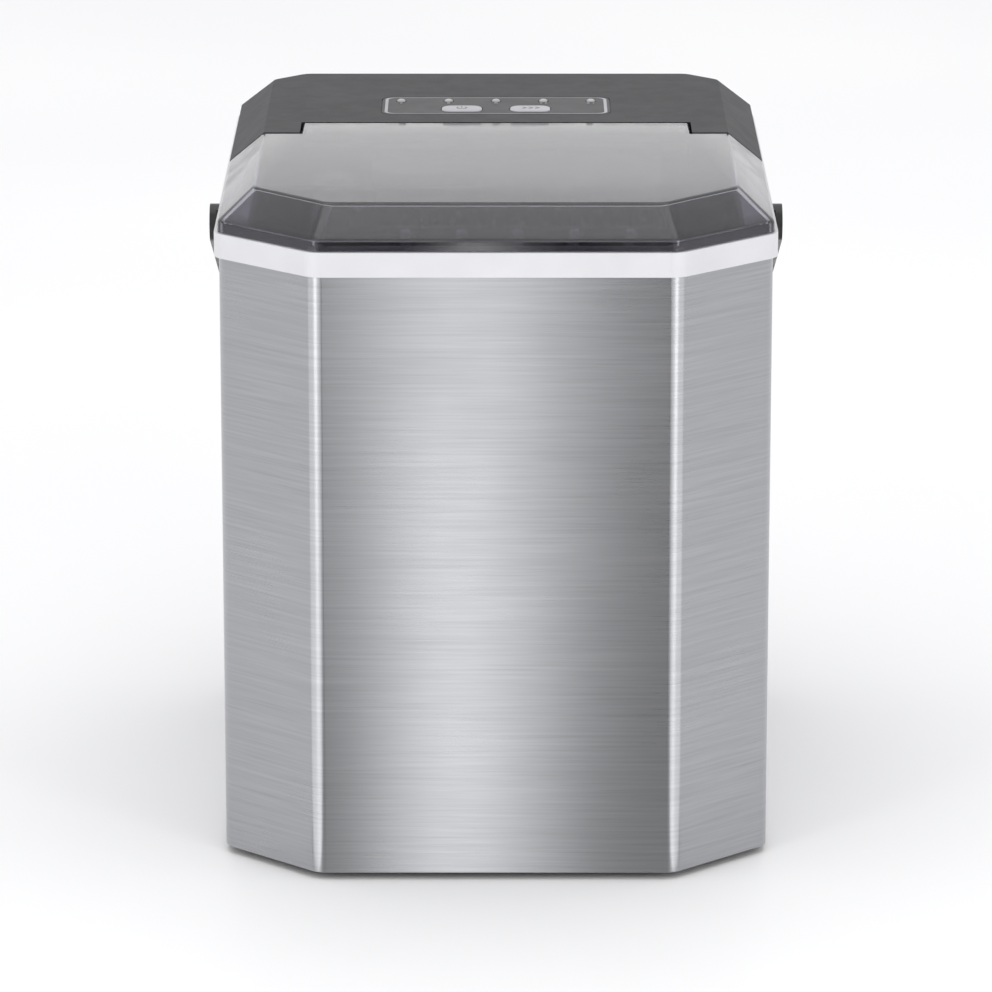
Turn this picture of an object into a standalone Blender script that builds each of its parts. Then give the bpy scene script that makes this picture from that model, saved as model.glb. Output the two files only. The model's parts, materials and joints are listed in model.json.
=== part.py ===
"""Countertop ice maker with an eight-sided steel body, a clear smoked lid and a carrying handle.

Metres, +Z up, front towards -Y. The origin is the centre of the bounding box, on the table.
"""
import math

import bmesh
import bpy
from mathutils import Matrix, Vector

# ---- overall body -------------------------------------------------------------------------
WIDTH = 0.226            # steel wrap, side to side
DEPTH = 0.292            # steel front to rear panel
STEEL_HEIGHT = 0.252     # bottom edge to top edge of the steel wrap
FOOT_HEIGHT = 0.003      # gap under the steel
FRONT_CUT_X = 0.0395     # slanted front corner, measured along X
FRONT_CUT_Y = 0.036      # slanted front corner, measured along Y
REAR_CUT = 0.014         # slanted rear corner
FOLD_RADIUS = 0.009      # bend of the steel at each corner
STEEL = 0.0008           # sheet thickness
GAP = 0.0004             # clearance between pieces that touch

# ---- top ----------------------------------------------------------------------------------
BAND_HEIGHT = 0.0101     # white frame above the steel
BAND_PROUD = 0.002       # frame beyond the steel
RIM_INSET = 0.0015       # lid edge inside the frame edge
RIM_HEIGHT = 0.0045      # upright edge of lid and cover
ROOF_RISE = 0.012        # slanted roof faces, height
FRONT_RUN = 0.0162       # slanted roof face at the front, depth
SIDE_RUN = 0.0145        # slanted roof faces at the sides, width
REAR_RUN = 0.005         # slanted roof face at the rear, depth
ROOF_CUT = 0.031         # slanted corner of the flat roof
SHELL = 0.0024           # wall of lid and cover
COVER_LENGTH = 0.114     # seam between lid and cover to the rear panel
EAR_WIDTH = 0.0155       # cover beside the lid's tongue
EAR_LENGTH = 0.0225      # how far the ears reach forward of the seam
SEAM = 0.001             # clearance behind the lid
SHOULDER_GAP = 0.0014    # clearance in front of the ears, where the lid swings past them
EAR_CHAMFER = 0.001      # slanted front edge of the ears' flat top

# ---- lid hinge ----------------------------------------------------------------------------
HINGE_BACK = 0.011       # hinge axis in front of the seam
HINGE_DROP = 0.006       # hinge axis under the roof
PIN_RADIUS = 0.0018
PIN_LENGTH = 0.0105

# ---- control panel ------------------------------------------------------------------------
PANEL_WIDTH = 0.099
PANEL_DEPTH = 0.0376
PANEL_BACK = 0.0362      # centre of the panel behind the seam
PANEL_THICK = 0.0007
PANEL_CORNER = 0.005
KEY_WIDTH = 0.0174
KEY_DEPTH = 0.0115
KEY_SPREAD = 0.0297      # distance between the two key centres
KEY_FORWARD = 0.0078     # keys in front of the panel centre
KEY_PROUD = 0.0006
KEY_TRAVEL = 0.0006
LED_PITCH = 0.0207
LED_BACK = 0.0098        # row of lamps behind the panel centre
LED_RADIUS = 0.0019
LED_RISE = 0.0009        # lamp lenses above the film
LED_COUNT = 5

# ---- handle -------------------------------------------------------------------------------
PIVOT_SHIFT = 0.001      # pivot behind the middle of the body
PIVOT_DROP = 0.0097      # pivot under the top edge of the steel
ARM_THICK = 0.0064
ARM_CLEAR = 0.0024       # steel to the inner face of each arm
ARM_WEB = 0.003          # outer wall of the channel-shaped arm
ARM_FLANGE = 0.0026
ARM_END = 0.0080         # half height of the arm at the pivot
ARM_TIP = 0.0065         # half height of the arm at the grip
ARM_DROP = 23.0          # degrees below level at rest
GRIP_RADIUS = 0.0068
GRIP_ROOM = 0.0005       # grip behind the rear panel at rest
BOSS_RADIUS = 0.0044
PIVOT_RADIUS = 0.0026
PIVOT_HEAD = 0.0042

# ---- ice chamber --------------------------------------------------------------------------
LINER_INSET = 0.010      # chamber wall inside the steel
LINER_WALL = 0.002
MACHINE_ROOM = 0.3356 * DEPTH    # rear face of the chamber to the rear panel
CHAMBER_DEPTH = 0.113    # frame top to the ledge under the basket
SUMP_DEPTH = 0.042       # water tank below the ledge
SUMP_INSET = 0.010       # tank wall inside the chamber wall
BASKET_CLEAR = 0.003
TRAY_ZONE = 0.108        # chamber length that the basket leaves to the tray
BASKET_HEIGHT = 0.084
BASKET_REAR = 0.018      # low rear wall, where the ice comes in
BASKET_WALL = 0.002

# ---- ice making ---------------------------------------------------------------------------
EVAP_X = 0.0093          # centre of the cold fingers
MOTOR_ROOM = 0.0498      # outer finger to the chamber wall, with the tray's motor between
FINGER_RADIUS = 0.0045
FINGER_LENGTH = 0.034
FINGER_FRONT = 5
ROW_PITCH = 0.018
EVAP_THICK = 0.010
EVAP_CLEAR = 0.0135      # evaporator plate under the lid's inner face
TRAY_WALL = 0.0018
TRAY_DEPTH = 0.033
TRAY_CLEAR = 0.0065      # tray under the evaporator plate
SPOUT_ROOM = 0.010       # tray beyond the fingers, under the water spout

# ---- machine room -------------------------------------------------------------------------
BASE_FLOOR = 0.0025
BASE_RIM = 0.012
FOOT_RADIUS = 0.009
COMPRESSOR_RADIUS = min(0.177 * WIDTH, 0.409 * MACHINE_ROOM)
OVER_COMPRESSOR = 0.147  # steel height that the compressor leaves free
COMPRESSOR_SIDE = 0.017  # steel side to the compressor
FAN_RADIUS = 0.1814 * WIDTH
FAN_SIDE = 0.022         # steel side to the fan blades
FAN_HEIGHT = 0.062       # fan axis above the base floor
FAN_BLADES = 7
CONDENSER_THICK = 0.020
CONDENSER_ROWS = 4
REAR_WALL = 0.002
TUBE_RADIUS = 0.0022
GROMMET_HEIGHT = 0.006
GLAND_X = 0.010          # where a power lead enters
GLAND_RADIUS = 0.0055
SCREW_RADIUS = 0.0017
SCREW_HEAD = 0.0034
DRAIN_RADIUS = 0.0052
PUMP_RADIUS = 0.015
PUMP_HEIGHT = 0.026
PUMP_SIDE = 0.051        # steel side to the pump's axis

COLOURS = {
    "brushed_steel": ((0.60, 0.60, 0.61), 0.32, 1.0),
    "white_plastic": ((0.84, 0.84, 0.86), 0.35, 0.0),
    "grey_plastic": ((0.095, 0.095, 0.11), 0.35, 0.0),
    "smoke_lid": ((0.16, 0.16, 0.18), 0.10, 0.0),
    "dark_plastic": ((0.065, 0.065, 0.068), 0.42, 0.0),
    "black_plastic": ((0.012, 0.012, 0.013), 0.38, 0.0),
    "panel_film": ((0.055, 0.055, 0.058), 0.30, 0.0),
    "key_grey": ((0.42, 0.42, 0.44), 0.40, 0.0),
    "lamp_lens": ((0.75, 0.75, 0.72), 0.20, 0.0),
    "board_green": ((0.02, 0.12, 0.05), 0.45, 0.0),
    "rubber": ((0.02, 0.02, 0.02), 0.85, 0.0),
    "nickel": ((0.62, 0.60, 0.57), 0.22, 1.0),
    "copper": ((0.72, 0.36, 0.22), 0.28, 1.0),
    "aluminium": ((0.70, 0.70, 0.71), 0.38, 1.0),
    "black_enamel": ((0.015, 0.015, 0.017), 0.35, 0.0),
    "zinc_steel": ((0.55, 0.55, 0.53), 0.40, 1.0),
    "silicone": ((0.70, 0.72, 0.72), 0.50, 0.0),
    "clear_plastic": ((0.60, 0.64, 0.66), 0.20, 0.0),
}

# ---- places worked out from the sizes above -------------------------------------------------
LID_LENGTH = DEPTH - COVER_LENGTH
PIVOT_BACK = DEPTH / 2 + PIVOT_SHIFT
ARM_OUTER = WIDTH / 2 + ARM_CLEAR + ARM_THICK
ARM_LENGTH = (DEPTH - PIVOT_BACK + GRIP_RADIUS + GRIP_ROOM) / math.cos(math.radians(ARM_DROP))
LINER_LENGTH = DEPTH - MACHINE_ROOM
BASKET_LENGTH = LINER_LENGTH - TRAY_ZONE
FINGER_PITCH = (WIDTH / 2 - LINER_INSET - LINER_WALL - MOTOR_ROOM) / 2
COMPRESSOR_HEIGHT = STEEL_HEIGHT - OVER_COMPRESSOR
COMPRESSOR_X = WIDTH / 2 - COMPRESSOR_RADIUS - COMPRESSOR_SIDE
FAN_X = -(WIDTH / 2 - FAN_RADIUS - FAN_SIDE)
PUMP_X = -(WIDTH / 2 - PUMP_SIDE)
GRIP_REACH = ARM_LENGTH * math.cos(math.radians(ARM_DROP)) + GRIP_RADIUS
TOTAL_DEPTH = BAND_PROUD + PIVOT_BACK + GRIP_REACH
FRONT_Y = -TOTAL_DEPTH / 2 + BAND_PROUD
REAR_Y = FRONT_Y + DEPTH
SEAM_Y = FRONT_Y + LID_LENGTH
STEEL_TOP = FOOT_HEIGHT + STEEL_HEIGHT
FRAME_TOP = STEEL_TOP + GAP + BAND_HEIGHT
RIM_BOTTOM = FRAME_TOP + GAP
RIM_TOP = RIM_BOTTOM + RIM_HEIGHT
ROOF_Z = RIM_TOP + ROOF_RISE
HINGE_Y = SEAM_Y - HINGE_BACK
HINGE_Z = ROOF_Z - HINGE_DROP
EAR_Y = SEAM_Y - EAR_LENGTH
PIVOT_Y = FRONT_Y + PIVOT_BACK
PIVOT_Z = STEEL_TOP - PIVOT_DROP
LINER_REAR_Y = FRONT_Y + LINER_LENGTH
LEDGE_Z = FRAME_TOP - CHAMBER_DEPTH
SUMP_Z = LEDGE_Z - SUMP_DEPTH
FLOOR_Z = FOOT_HEIGHT + 0.001 + BASE_FLOOR
EVAP_TOP = ROOF_Z - SHELL - EVAP_CLEAR
EVAP_BOTTOM = EVAP_TOP - EVAP_THICK
TRAY_TOP = EVAP_BOTTOM - TRAY_CLEAR
TRAY_BOTTOM = TRAY_TOP - TRAY_DEPTH
BASKET_FRONT_Y = FRONT_Y + LINER_INSET + LINER_WALL + BASKET_CLEAR
BASKET_REAR_Y = BASKET_FRONT_Y + BASKET_LENGTH
BASKET_Z = LEDGE_Z + LINER_WALL + GAP
TRAY_FRONT_Y = BASKET_REAR_Y + 0.012
ROW_FRONT_Y = TRAY_FRONT_Y + 0.015
TRAY_REAR_Y = ROW_FRONT_Y + ROW_PITCH + 0.017
TRAY_AXIS_Y = TRAY_REAR_Y - 0.004
TRAY_AXIS_Z = TRAY_TOP - 0.003
FAN_Z = FLOOR_Z + FAN_HEIGHT
ROOM_Y = LINER_REAR_Y + 0.004
PANEL_Y = SEAM_Y + PANEL_BACK
GLAND_Z = FLOOR_Z + BASE_RIM + 0.012
SCREW_X = WIDTH / 2 - REAR_CUT - 0.007
SCREW_HEIGHTS = (FOOT_HEIGHT + 0.020, STEEL_TOP - 0.014)
SCREW_PLACES = [(side * SCREW_X, z) for side in (-1, 1) for z in SCREW_HEIGHTS]
FOOT_FRONT_X = WIDTH / 2 - FRONT_CUT_X - 0.0185
FOOT_REAR_X = WIDTH / 2 - 0.033
FOOT_INSET = 0.030
DRAIN_Y = FRONT_Y + 0.016
SUCTION_X = EVAP_X + 2 * FINGER_PITCH - 0.006
HOT_GAS_X = EVAP_X + FINGER_PITCH - 0.005
CAPILLARY_X = EVAP_X - 2 * FINGER_PITCH + 0.006
TUBE_EXIT_Z = STEEL_TOP - 0.0105
COMPRESSOR_Y = REAR_Y - REAR_WALL - COMPRESSOR_RADIUS - 0.007
BRACKET_Z = FLOOR_Z + GAP + GROMMET_HEIGHT
CAN_Z = BRACKET_Z + 0.002 + GAP
CONDENSER_Y = ROOM_Y + 0.008


# ---- geometry helpers -----------------------------------------------------------------------
def offset(points, distance):
    """Move a counter-clockwise outline outwards by distance, keeping its corners."""
    count = len(points)
    moved = []
    for index in range(count):
        before = Vector(points[index - 1])
        here = Vector(points[index])
        after = Vector(points[(index + 1) % count])
        first = (here - before).normalized()
        second = (after - here).normalized()
        normal_1 = Vector((first.y, -first.x))
        normal_2 = Vector((second.y, -second.x))
        bisector = (normal_1 + normal_2) / (1 + normal_1.dot(normal_2))
        moved.append(tuple(here + bisector * distance))
    return moved


def rounded(points, radii, steps=3):
    """Replace each corner of an outline by an arc; radii is one number or one per corner."""
    count = len(points)
    if not isinstance(radii, (list, tuple)):
        radii = [radii] * count
    result = []
    for index, radius in enumerate(radii):
        here = Vector(points[index])
        to_before = (Vector(points[index - 1]) - here).normalized()
        to_after = (Vector(points[(index + 1) % count]) - here).normalized()
        if radius <= 0:
            result.append(tuple(here))
            continue
        half = to_before.angle(to_after) / 2
        along = radius / math.tan(half)
        centre = here + (to_before + to_after).normalized() * (radius / math.sin(half))
        start = here + to_before * along - centre
        turn = math.pi - 2 * half
        side = 1 if to_before.x * to_after.y - to_before.y * to_after.x < 0 else -1
        for step in range(steps + 1):
            angle = side * turn * step / steps
            arm = Vector((start.x * math.cos(angle) - start.y * math.sin(angle),
                          start.x * math.sin(angle) + start.y * math.cos(angle)))
            result.append(tuple(centre + arm))
    return result


def body_plan(grow=0.0):
    """The eight-sided plan of the steel body, counter-clockwise from the front left fold."""
    half = WIDTH / 2
    corners = [
        (-half + FRONT_CUT_X, FRONT_Y), (half - FRONT_CUT_X, FRONT_Y),
        (half, FRONT_Y + FRONT_CUT_Y), (half, REAR_Y - REAR_CUT),
        (half - REAR_CUT, REAR_Y), (-half + REAR_CUT, REAR_Y),
        (-half, REAR_Y - REAR_CUT), (-half, FRONT_Y + FRONT_CUT_Y),
    ]
    return offset(corners, grow)


def at_height(points, z):
    return [(x, y, z) for x, y in points]


def rectangle(x0, x1, y0, y1):
    return [(x0, y0), (x1, y0), (x1, y1), (x0, y1)]


def circle(radius, steps, centre=(0.0, 0.0)):
    turns = [2 * math.pi * step / steps for step in range(steps)]
    return [(centre[0] + radius * math.cos(a), centre[1] + radius * math.sin(a)) for a in turns]


def stack(rings, loop=False):
    """A closed body through rings that have the same number of points."""
    mesh = bmesh.new()
    rows = [[mesh.verts.new(point) for point in ring] for ring in rings]
    pairs = list(zip(rows, rows[1:]))
    if loop:
        pairs.append((rows[-1], rows[0]))
    else:
        mesh.faces.new(rows[0])
        mesh.faces.new(rows[-1])
    for lower, upper in pairs:
        for index in range(len(lower)):
            follow = (index + 1) % len(lower)
            mesh.faces.new((lower[index], lower[follow], upper[follow], upper[index]))
    bmesh.ops.recalc_face_normals(mesh, faces=mesh.faces)
    if mesh.calc_volume(signed=True) < 0:
        bmesh.ops.reverse_faces(mesh, faces=mesh.faces)
    return mesh


def prism(points, z0, z1):
    return stack([at_height(points, z0), at_height(points, z1)])


def prism_x(points, x0, x1):
    """Extrude an outline given as (y, z) along X."""
    return stack([[(x0, y, z) for y, z in points], [(x1, y, z) for y, z in points]])


def block(x0, x1, y0, y1, z0, z1):
    return prism(rectangle(x0, x1, y0, y1), z0, z1)


def lathe(profile, centre, axis="Z", steps=24):
    """Turn (radius, height) pairs around an axis through centre."""
    mesh = stack([at_height(circle(radius, steps), height) for radius, height in profile])
    turn = {"Z": Matrix(), "X": Matrix.Rotation(math.radians(90), 4, "Y"),
            "Y": Matrix.Rotation(math.radians(-90), 4, "X")}[axis]
    mesh.transform(Matrix.Translation(centre) @ turn)
    return mesh


def rod(centre, radius, start, end, axis="Z", steps=16):
    return lathe([(radius, start), (radius, end)], centre, axis, steps)


def material(name):
    found = bpy.data.materials.get(name)
    if found:
        return found
    colour, roughness, metallic = COLOURS[name]
    made = bpy.data.materials.new(name)
    made.use_nodes = True
    shader = made.node_tree.nodes["Principled BSDF"]
    shader.inputs["Base Color"].default_value = (*colour, 1.0)
    shader.inputs["Roughness"].default_value = roughness
    shader.inputs["Metallic"].default_value = metallic
    made.diffuse_color = (*colour, 1.0)
    return made


def piece(name, mesh, finish, origin=(0.0, 0.0, 0.0), smooth=True):
    """Turn a bmesh into a named object whose origin lies at the given point."""
    mesh.transform(Matrix.Translation(-Vector(origin)))
    data = bpy.data.meshes.new(name)
    mesh.to_mesh(data)
    mesh.free()
    data.materials.append(material(finish))
    if smooth:
        data.shade_smooth()
        data.set_sharp_from_angle(angle=math.radians(35))
    made = bpy.data.objects.new(name, data)
    made.location = origin
    bpy.context.collection.objects.link(made)
    return made


def tool(target, mesh, operation):
    """Cut a mesh out of a piece, or join it on, with a live Boolean."""
    data = bpy.data.meshes.new(target.name + "_tool")
    mesh.transform(Matrix.Translation(-target.location))
    mesh.to_mesh(data)
    mesh.free()
    helper = bpy.data.objects.new(target.name + "_tool", data)
    helper.location = target.location
    helper.hide_render = True
    helper.display_type = "WIRE"
    bpy.context.collection.objects.link(helper)
    modifier = target.modifiers.new(operation.lower(), "BOOLEAN")
    modifier.operation = operation
    modifier.solver = "EXACT"
    modifier.object = helper


def cut(target, *meshes):
    for mesh in meshes:
        tool(target, mesh, "DIFFERENCE")


def add(target, *meshes):
    for mesh in meshes:
        tool(target, mesh, "UNION")


def tube(name, route, radius, finish, sides=1, steps=4):
    """A round tube along a smooth curve through the route's points."""
    guides = [Vector(point) for point in route]
    ends = [2 * guides[0] - guides[1]] + guides + [2 * guides[-1] - guides[-2]]
    places = []
    for a, b, c, d in zip(ends, ends[1:], ends[2:], ends[3:]):
        for step in range(steps):
            t = step / steps
            places.append(0.5 * (2 * b + (c - a) * t + (2 * a - 5 * b + 4 * c - d) * t ** 2
                                 + (3 * b - a - 3 * c + d) * t ** 3))
    places.append(guides[-1])
    curve = bpy.data.curves.new(name, "CURVE")
    curve.dimensions = "3D"
    curve.render_resolution_u = 0
    curve.bevel_depth = radius
    curve.bevel_resolution = sides
    curve.use_fill_caps = True
    spline = curve.splines.new("POLY")
    spline.points.add(len(places) - 1)
    for point, place in zip(spline.points, places):
        point.co = (*place, 1.0)
    curve.materials.append(material(finish))
    made = bpy.data.objects.new(name, curve)
    bpy.context.collection.objects.link(made)
    return made


# ---- body shell -----------------------------------------------------------------------------
def steel_wrap():
    """One folded sheet: left side, slanted corner, front, slanted corner, right side."""
    def path(grow):
        corners = body_plan(grow)
        open_path = [corners[index] for index in (6, 7, 0, 1, 2, 3)]
        bend = FOLD_RADIUS + grow
        return rounded(open_path, [0, bend, bend, bend, bend, 0])
    outer = path(0.0)
    inner = path(-STEEL)
    mesh = prism(outer + inner[::-1], FOOT_HEIGHT, STEEL_TOP)
    piece("steel_wrap", mesh, "brushed_steel")


def rear_panel():
    outer = [body_plan()[index] for index in (3, 4, 5, 6)]
    inner = [body_plan(-REAR_WALL)[index] for index in (3, 4, 5, 6)]
    outer[0] = (outer[0][0], outer[0][1] + GAP)
    outer[-1] = (outer[-1][0], outer[-1][1] + GAP)
    inner[0] = (inner[0][0], outer[0][1])
    inner[-1] = (inner[-1][0], outer[-1][1])
    panel = piece("rear_panel", prism(outer + inner[::-1], FOOT_HEIGHT, STEEL_TOP), "dark_plastic")
    reach = (REAR_Y - 2 * REAR_WALL, REAR_Y + REAR_WALL)
    for row in range(9):
        z = FAN_Z - FAN_RADIUS + (row + 0.5) * 2 * FAN_RADIUS / 9
        half = math.sqrt(max(FAN_RADIUS ** 2 - (z - FAN_Z) ** 2, 0.0))
        cut(panel, block(FAN_X - half, FAN_X + half, *reach, z - 0.0022, z + 0.0022))
    for row in range(6):
        z = FAN_Z - 0.035 + row * 0.012
        cut(panel, block(COMPRESSOR_X - 0.026, COMPRESSOR_X + 0.026, *reach, z, z + 0.0045))
    cut(panel, rod((GLAND_X, REAR_Y, GLAND_Z), GLAND_RADIUS + GAP, -0.01, 0.01, "Y", 20))
    for x, z in SCREW_PLACES:
        cut(panel, rod((x, REAR_Y, z), SCREW_RADIUS + GAP, -0.01, 0.01, "Y", 12))


def inlet_gland():
    """Round grommet that a power lead enters through."""
    wall = REAR_WALL + GAP
    profile = [(0.0035, -0.0045 - wall), (0.0075, -0.0045 - wall), (0.0075, -wall),
               (GLAND_RADIUS, -wall), (GLAND_RADIUS, GAP), (0.0080, GAP), (0.0080, 0.0022),
               (0.0062, 0.0050), (0.0035, 0.0050)]
    mesh = stack([at_height(circle(radius, 20), height) for radius, height in profile], loop=True)
    mesh.transform(Matrix.Translation((GLAND_X, REAR_Y, GLAND_Z))
                   @ Matrix.Rotation(math.radians(-90), 4, "X"))
    piece("inlet_gland", mesh, "rubber")


def rear_screws():
    names = ("lower_left", "upper_left", "lower_right", "upper_right")
    for name, (x, z) in zip(names, SCREW_PLACES):
        profile = [(SCREW_RADIUS, -0.008), (SCREW_RADIUS, GAP), (SCREW_HEAD, GAP),
                   (SCREW_HEAD, 0.0012), (SCREW_HEAD * 0.6, 0.0022)]
        screw = piece("rear_screw_" + name, lathe(profile, (x, REAR_Y, z), "Y", 14), "zinc_steel")
        for turn in (0, 90):
            slot = block(-0.0016, 0.0016, 0.0010, 0.0030, -0.0004, 0.0004)
            slot.transform(Matrix.Translation((x, REAR_Y, z)) @ Matrix.Rotation(math.radians(turn), 4, "Y"))
            cut(screw, slot)


def base_plan(inset):
    """Plan inside the steel wrap and inside the rear panel."""
    side = body_plan(-inset)
    rear = body_plan(-inset - REAR_WALL + STEEL)
    slope_start = rear[4][1] - (side[2][0] - rear[4][0])
    corners = [side[0], side[1], side[2], (side[2][0], slope_start), rear[4],
               rear[5], (side[7][0], slope_start), side[7]]
    bend = FOLD_RADIUS - inset + 0.001
    return rounded(corners, [bend, bend, bend, 0.002, 0.002, 0.002, 0.002, bend])


def base_pan():
    clear = STEEL + GAP
    bottom = FLOOR_Z - BASE_FLOOR
    rings = [at_height(base_plan(clear), bottom), at_height(base_plan(clear), FLOOR_Z + BASE_RIM),
             at_height(base_plan(clear + 0.002), FLOOR_Z + BASE_RIM),
             at_height(base_plan(clear + 0.002), FLOOR_Z)]
    pan = piece("base_pan", stack(rings), "black_plastic")
    cut(pan, rod((0, DRAIN_Y, 0), DRAIN_RADIUS + 0.0018 + GAP, -0.01, 0.03, "Z", 20))


def feet():
    top = FLOOR_Z - BASE_FLOOR - GAP
    front, rear = FRONT_Y + FOOT_INSET, REAR_Y - FOOT_INSET
    spots = {"front_left": (-FOOT_FRONT_X, front), "front_right": (FOOT_FRONT_X, front),
             "rear_left": (-FOOT_REAR_X, rear), "rear_right": (FOOT_REAR_X, rear)}
    for name, (x, y) in spots.items():
        profile = [(FOOT_RADIUS - 0.0012, 0.0), (FOOT_RADIUS, 0.0010), (FOOT_RADIUS, top)]
        piece("foot_" + name, lathe(profile, (x, y, 0), "Z", 20), "rubber")


# ---- white top frame and chamber ------------------------------------------------------------
def chamber_plan(inset):
    """Front part of the body plan, cut straight at the rear wall of the chamber."""
    corners = body_plan(-inset)
    rear = LINER_REAR_Y - (inset - LINER_INSET)
    half = corners[2][0]
    return rounded([corners[0], corners[1], corners[2], (half, rear), (-half, rear), corners[7]],
                   0.006, 2)


def top_frame():
    """White ring around the top, open over the chamber and over the machine room."""
    def outer(grow):
        return rounded(body_plan(grow), 0.008 + grow)

    def inner(inset):
        return rounded(body_plan(-inset), 0.004)
    rings = [at_height(outer(BAND_PROUD), STEEL_TOP + GAP),
             at_height(outer(BAND_PROUD), FRAME_TOP - 0.0012),
             at_height(outer(BAND_PROUD - 0.0012), FRAME_TOP),
             at_height(inner(LINER_INSET + LINER_WALL), FRAME_TOP),
             at_height(inner(LINER_INSET + LINER_WALL), STEEL_TOP + GAP)]
    frame = piece("top_frame", stack(rings, loop=True), "white_plastic")
    half = WIDTH / 2 - LINER_INSET + 0.003
    deck_y = LINER_REAR_Y - LINER_WALL - 0.0005
    add(frame, block(-half, half, deck_y, LINER_REAR_Y + 0.008,
                     STEEL_TOP + 2 * GAP, FRAME_TOP - 0.0045))


def inner_liner():
    """Grey chamber for the basket, with the water tank below its ledge."""
    top = STEEL_TOP - 0.0006
    wall = LINER_WALL
    sump = LINER_INSET + SUMP_INSET
    rings = [at_height(chamber_plan(sump), SUMP_Z), at_height(chamber_plan(sump), LEDGE_Z - wall),
             at_height(chamber_plan(LINER_INSET), LEDGE_Z),
             at_height(chamber_plan(LINER_INSET), top),
             at_height(chamber_plan(LINER_INSET + wall), top),
             at_height(chamber_plan(LINER_INSET + wall), LEDGE_Z + wall),
             at_height(chamber_plan(sump + wall), LEDGE_Z + wall),
             at_height(chamber_plan(sump + wall), SUMP_Z + wall)]
    liner = piece("inner_liner", stack(rings), "grey_plastic")
    cut(liner, rod((0, DRAIN_Y + 0.012, SUMP_Z), DRAIN_RADIUS, -0.005, 0.008, "Z", 20))
    for x in (SUCTION_X, HOT_GAS_X, CAPILLARY_X):
        cut(liner, rod((x, LINER_REAR_Y, TUBE_EXIT_Z), TUBE_RADIUS + 0.0008, -0.006, 0.004, "Y", 16))


# ---- lid and rear cover ---------------------------------------------------------------------
def roof_corners(level):
    """Plan of the roof at level 0 (rim) or 1 (flat top), counter-clockwise from front left."""
    rim = body_plan(BAND_PROUD - RIM_INSET)
    if level == 0:
        return rim
    half = rim[2][0] - SIDE_RUN
    front = rim[0][1] + FRONT_RUN
    rear = REAR_Y - REAR_RUN
    return [(-half + ROOF_CUT, front), (half - ROOF_CUT, front), (half, front + ROOF_CUT),
            (half, rear - REAR_CUT), (half - REAR_CUT, rear), (-half + REAR_CUT, rear),
            (-half, rear - REAR_CUT), (-half, front + ROOF_CUT)]


def lid_plan(level, inset=0.0):
    roof = roof_corners(level)
    tongue = WIDTH / 2 - SIDE_RUN - EAR_WIDTH
    shoulder = EAR_Y - SHOULDER_GAP
    back = SEAM_Y - SEAM
    points = [roof[0], roof[1], roof[2], (roof[2][0], shoulder), (tongue, shoulder),
              (tongue, back), (-tongue, back), (-tongue, shoulder), (roof[7][0], shoulder), roof[7]]
    return offset(points, -inset)


def lid():
    """Clear smoked lid: upright rim, slanted faces, flat top and a tongue between the ears."""
    soft = [0.006, 0.006, 0.006, 0.001, 0.001, 0.001, 0.001, 0.001, 0.001, 0.006]

    def ring(level, inset, z):
        return at_height(rounded(lid_plan(level, inset), soft, 2), z)
    slope = SHELL * 0.8
    rings = [ring(1, SHELL * 0.5, ROOF_Z - SHELL), ring(0, SHELL, RIM_TOP - slope * 0.5),
             ring(0, SHELL, RIM_BOTTOM), ring(0, 0, RIM_BOTTOM), ring(0, 0, RIM_TOP),
             ring(1, 0, ROOF_Z)]
    shell = piece("lid", stack(rings), "smoke_lid", (0, HINGE_Y, HINGE_Z))
    notch = HINGE_BACK - SEAM
    corner = [(HINGE_Y + notch - 0.0030, ROOF_Z + 0.002), (HINGE_Y + notch + 0.0030, ROOF_Z + 0.002),
              (HINGE_Y + notch + 0.0030, ROOF_Z - 0.0050)]
    cut(shell, prism_x(corner, -WIDTH / 2, WIDTH / 2))
    for side in (-1, 1):
        x = side * (WIDTH / 2 - SIDE_RUN - EAR_WIDTH)
        cut(shell, rod((x, HINGE_Y, HINGE_Z), PIN_RADIUS + GAP, -0.006, 0.006, "X", 16))


def cover_plan(level, inset=0.0):
    roof = roof_corners(level)
    tongue = WIDTH / 2 - SIDE_RUN - EAR_WIDTH + SEAM * 0.6
    points = [(-tongue, SEAM_Y), (tongue, SEAM_Y), (tongue, EAR_Y), (roof[3][0], EAR_Y),
              roof[3], roof[4], roof[5], roof[6], (roof[6][0], EAR_Y), (-tongue, EAR_Y)]
    return offset(points, -inset)


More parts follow.
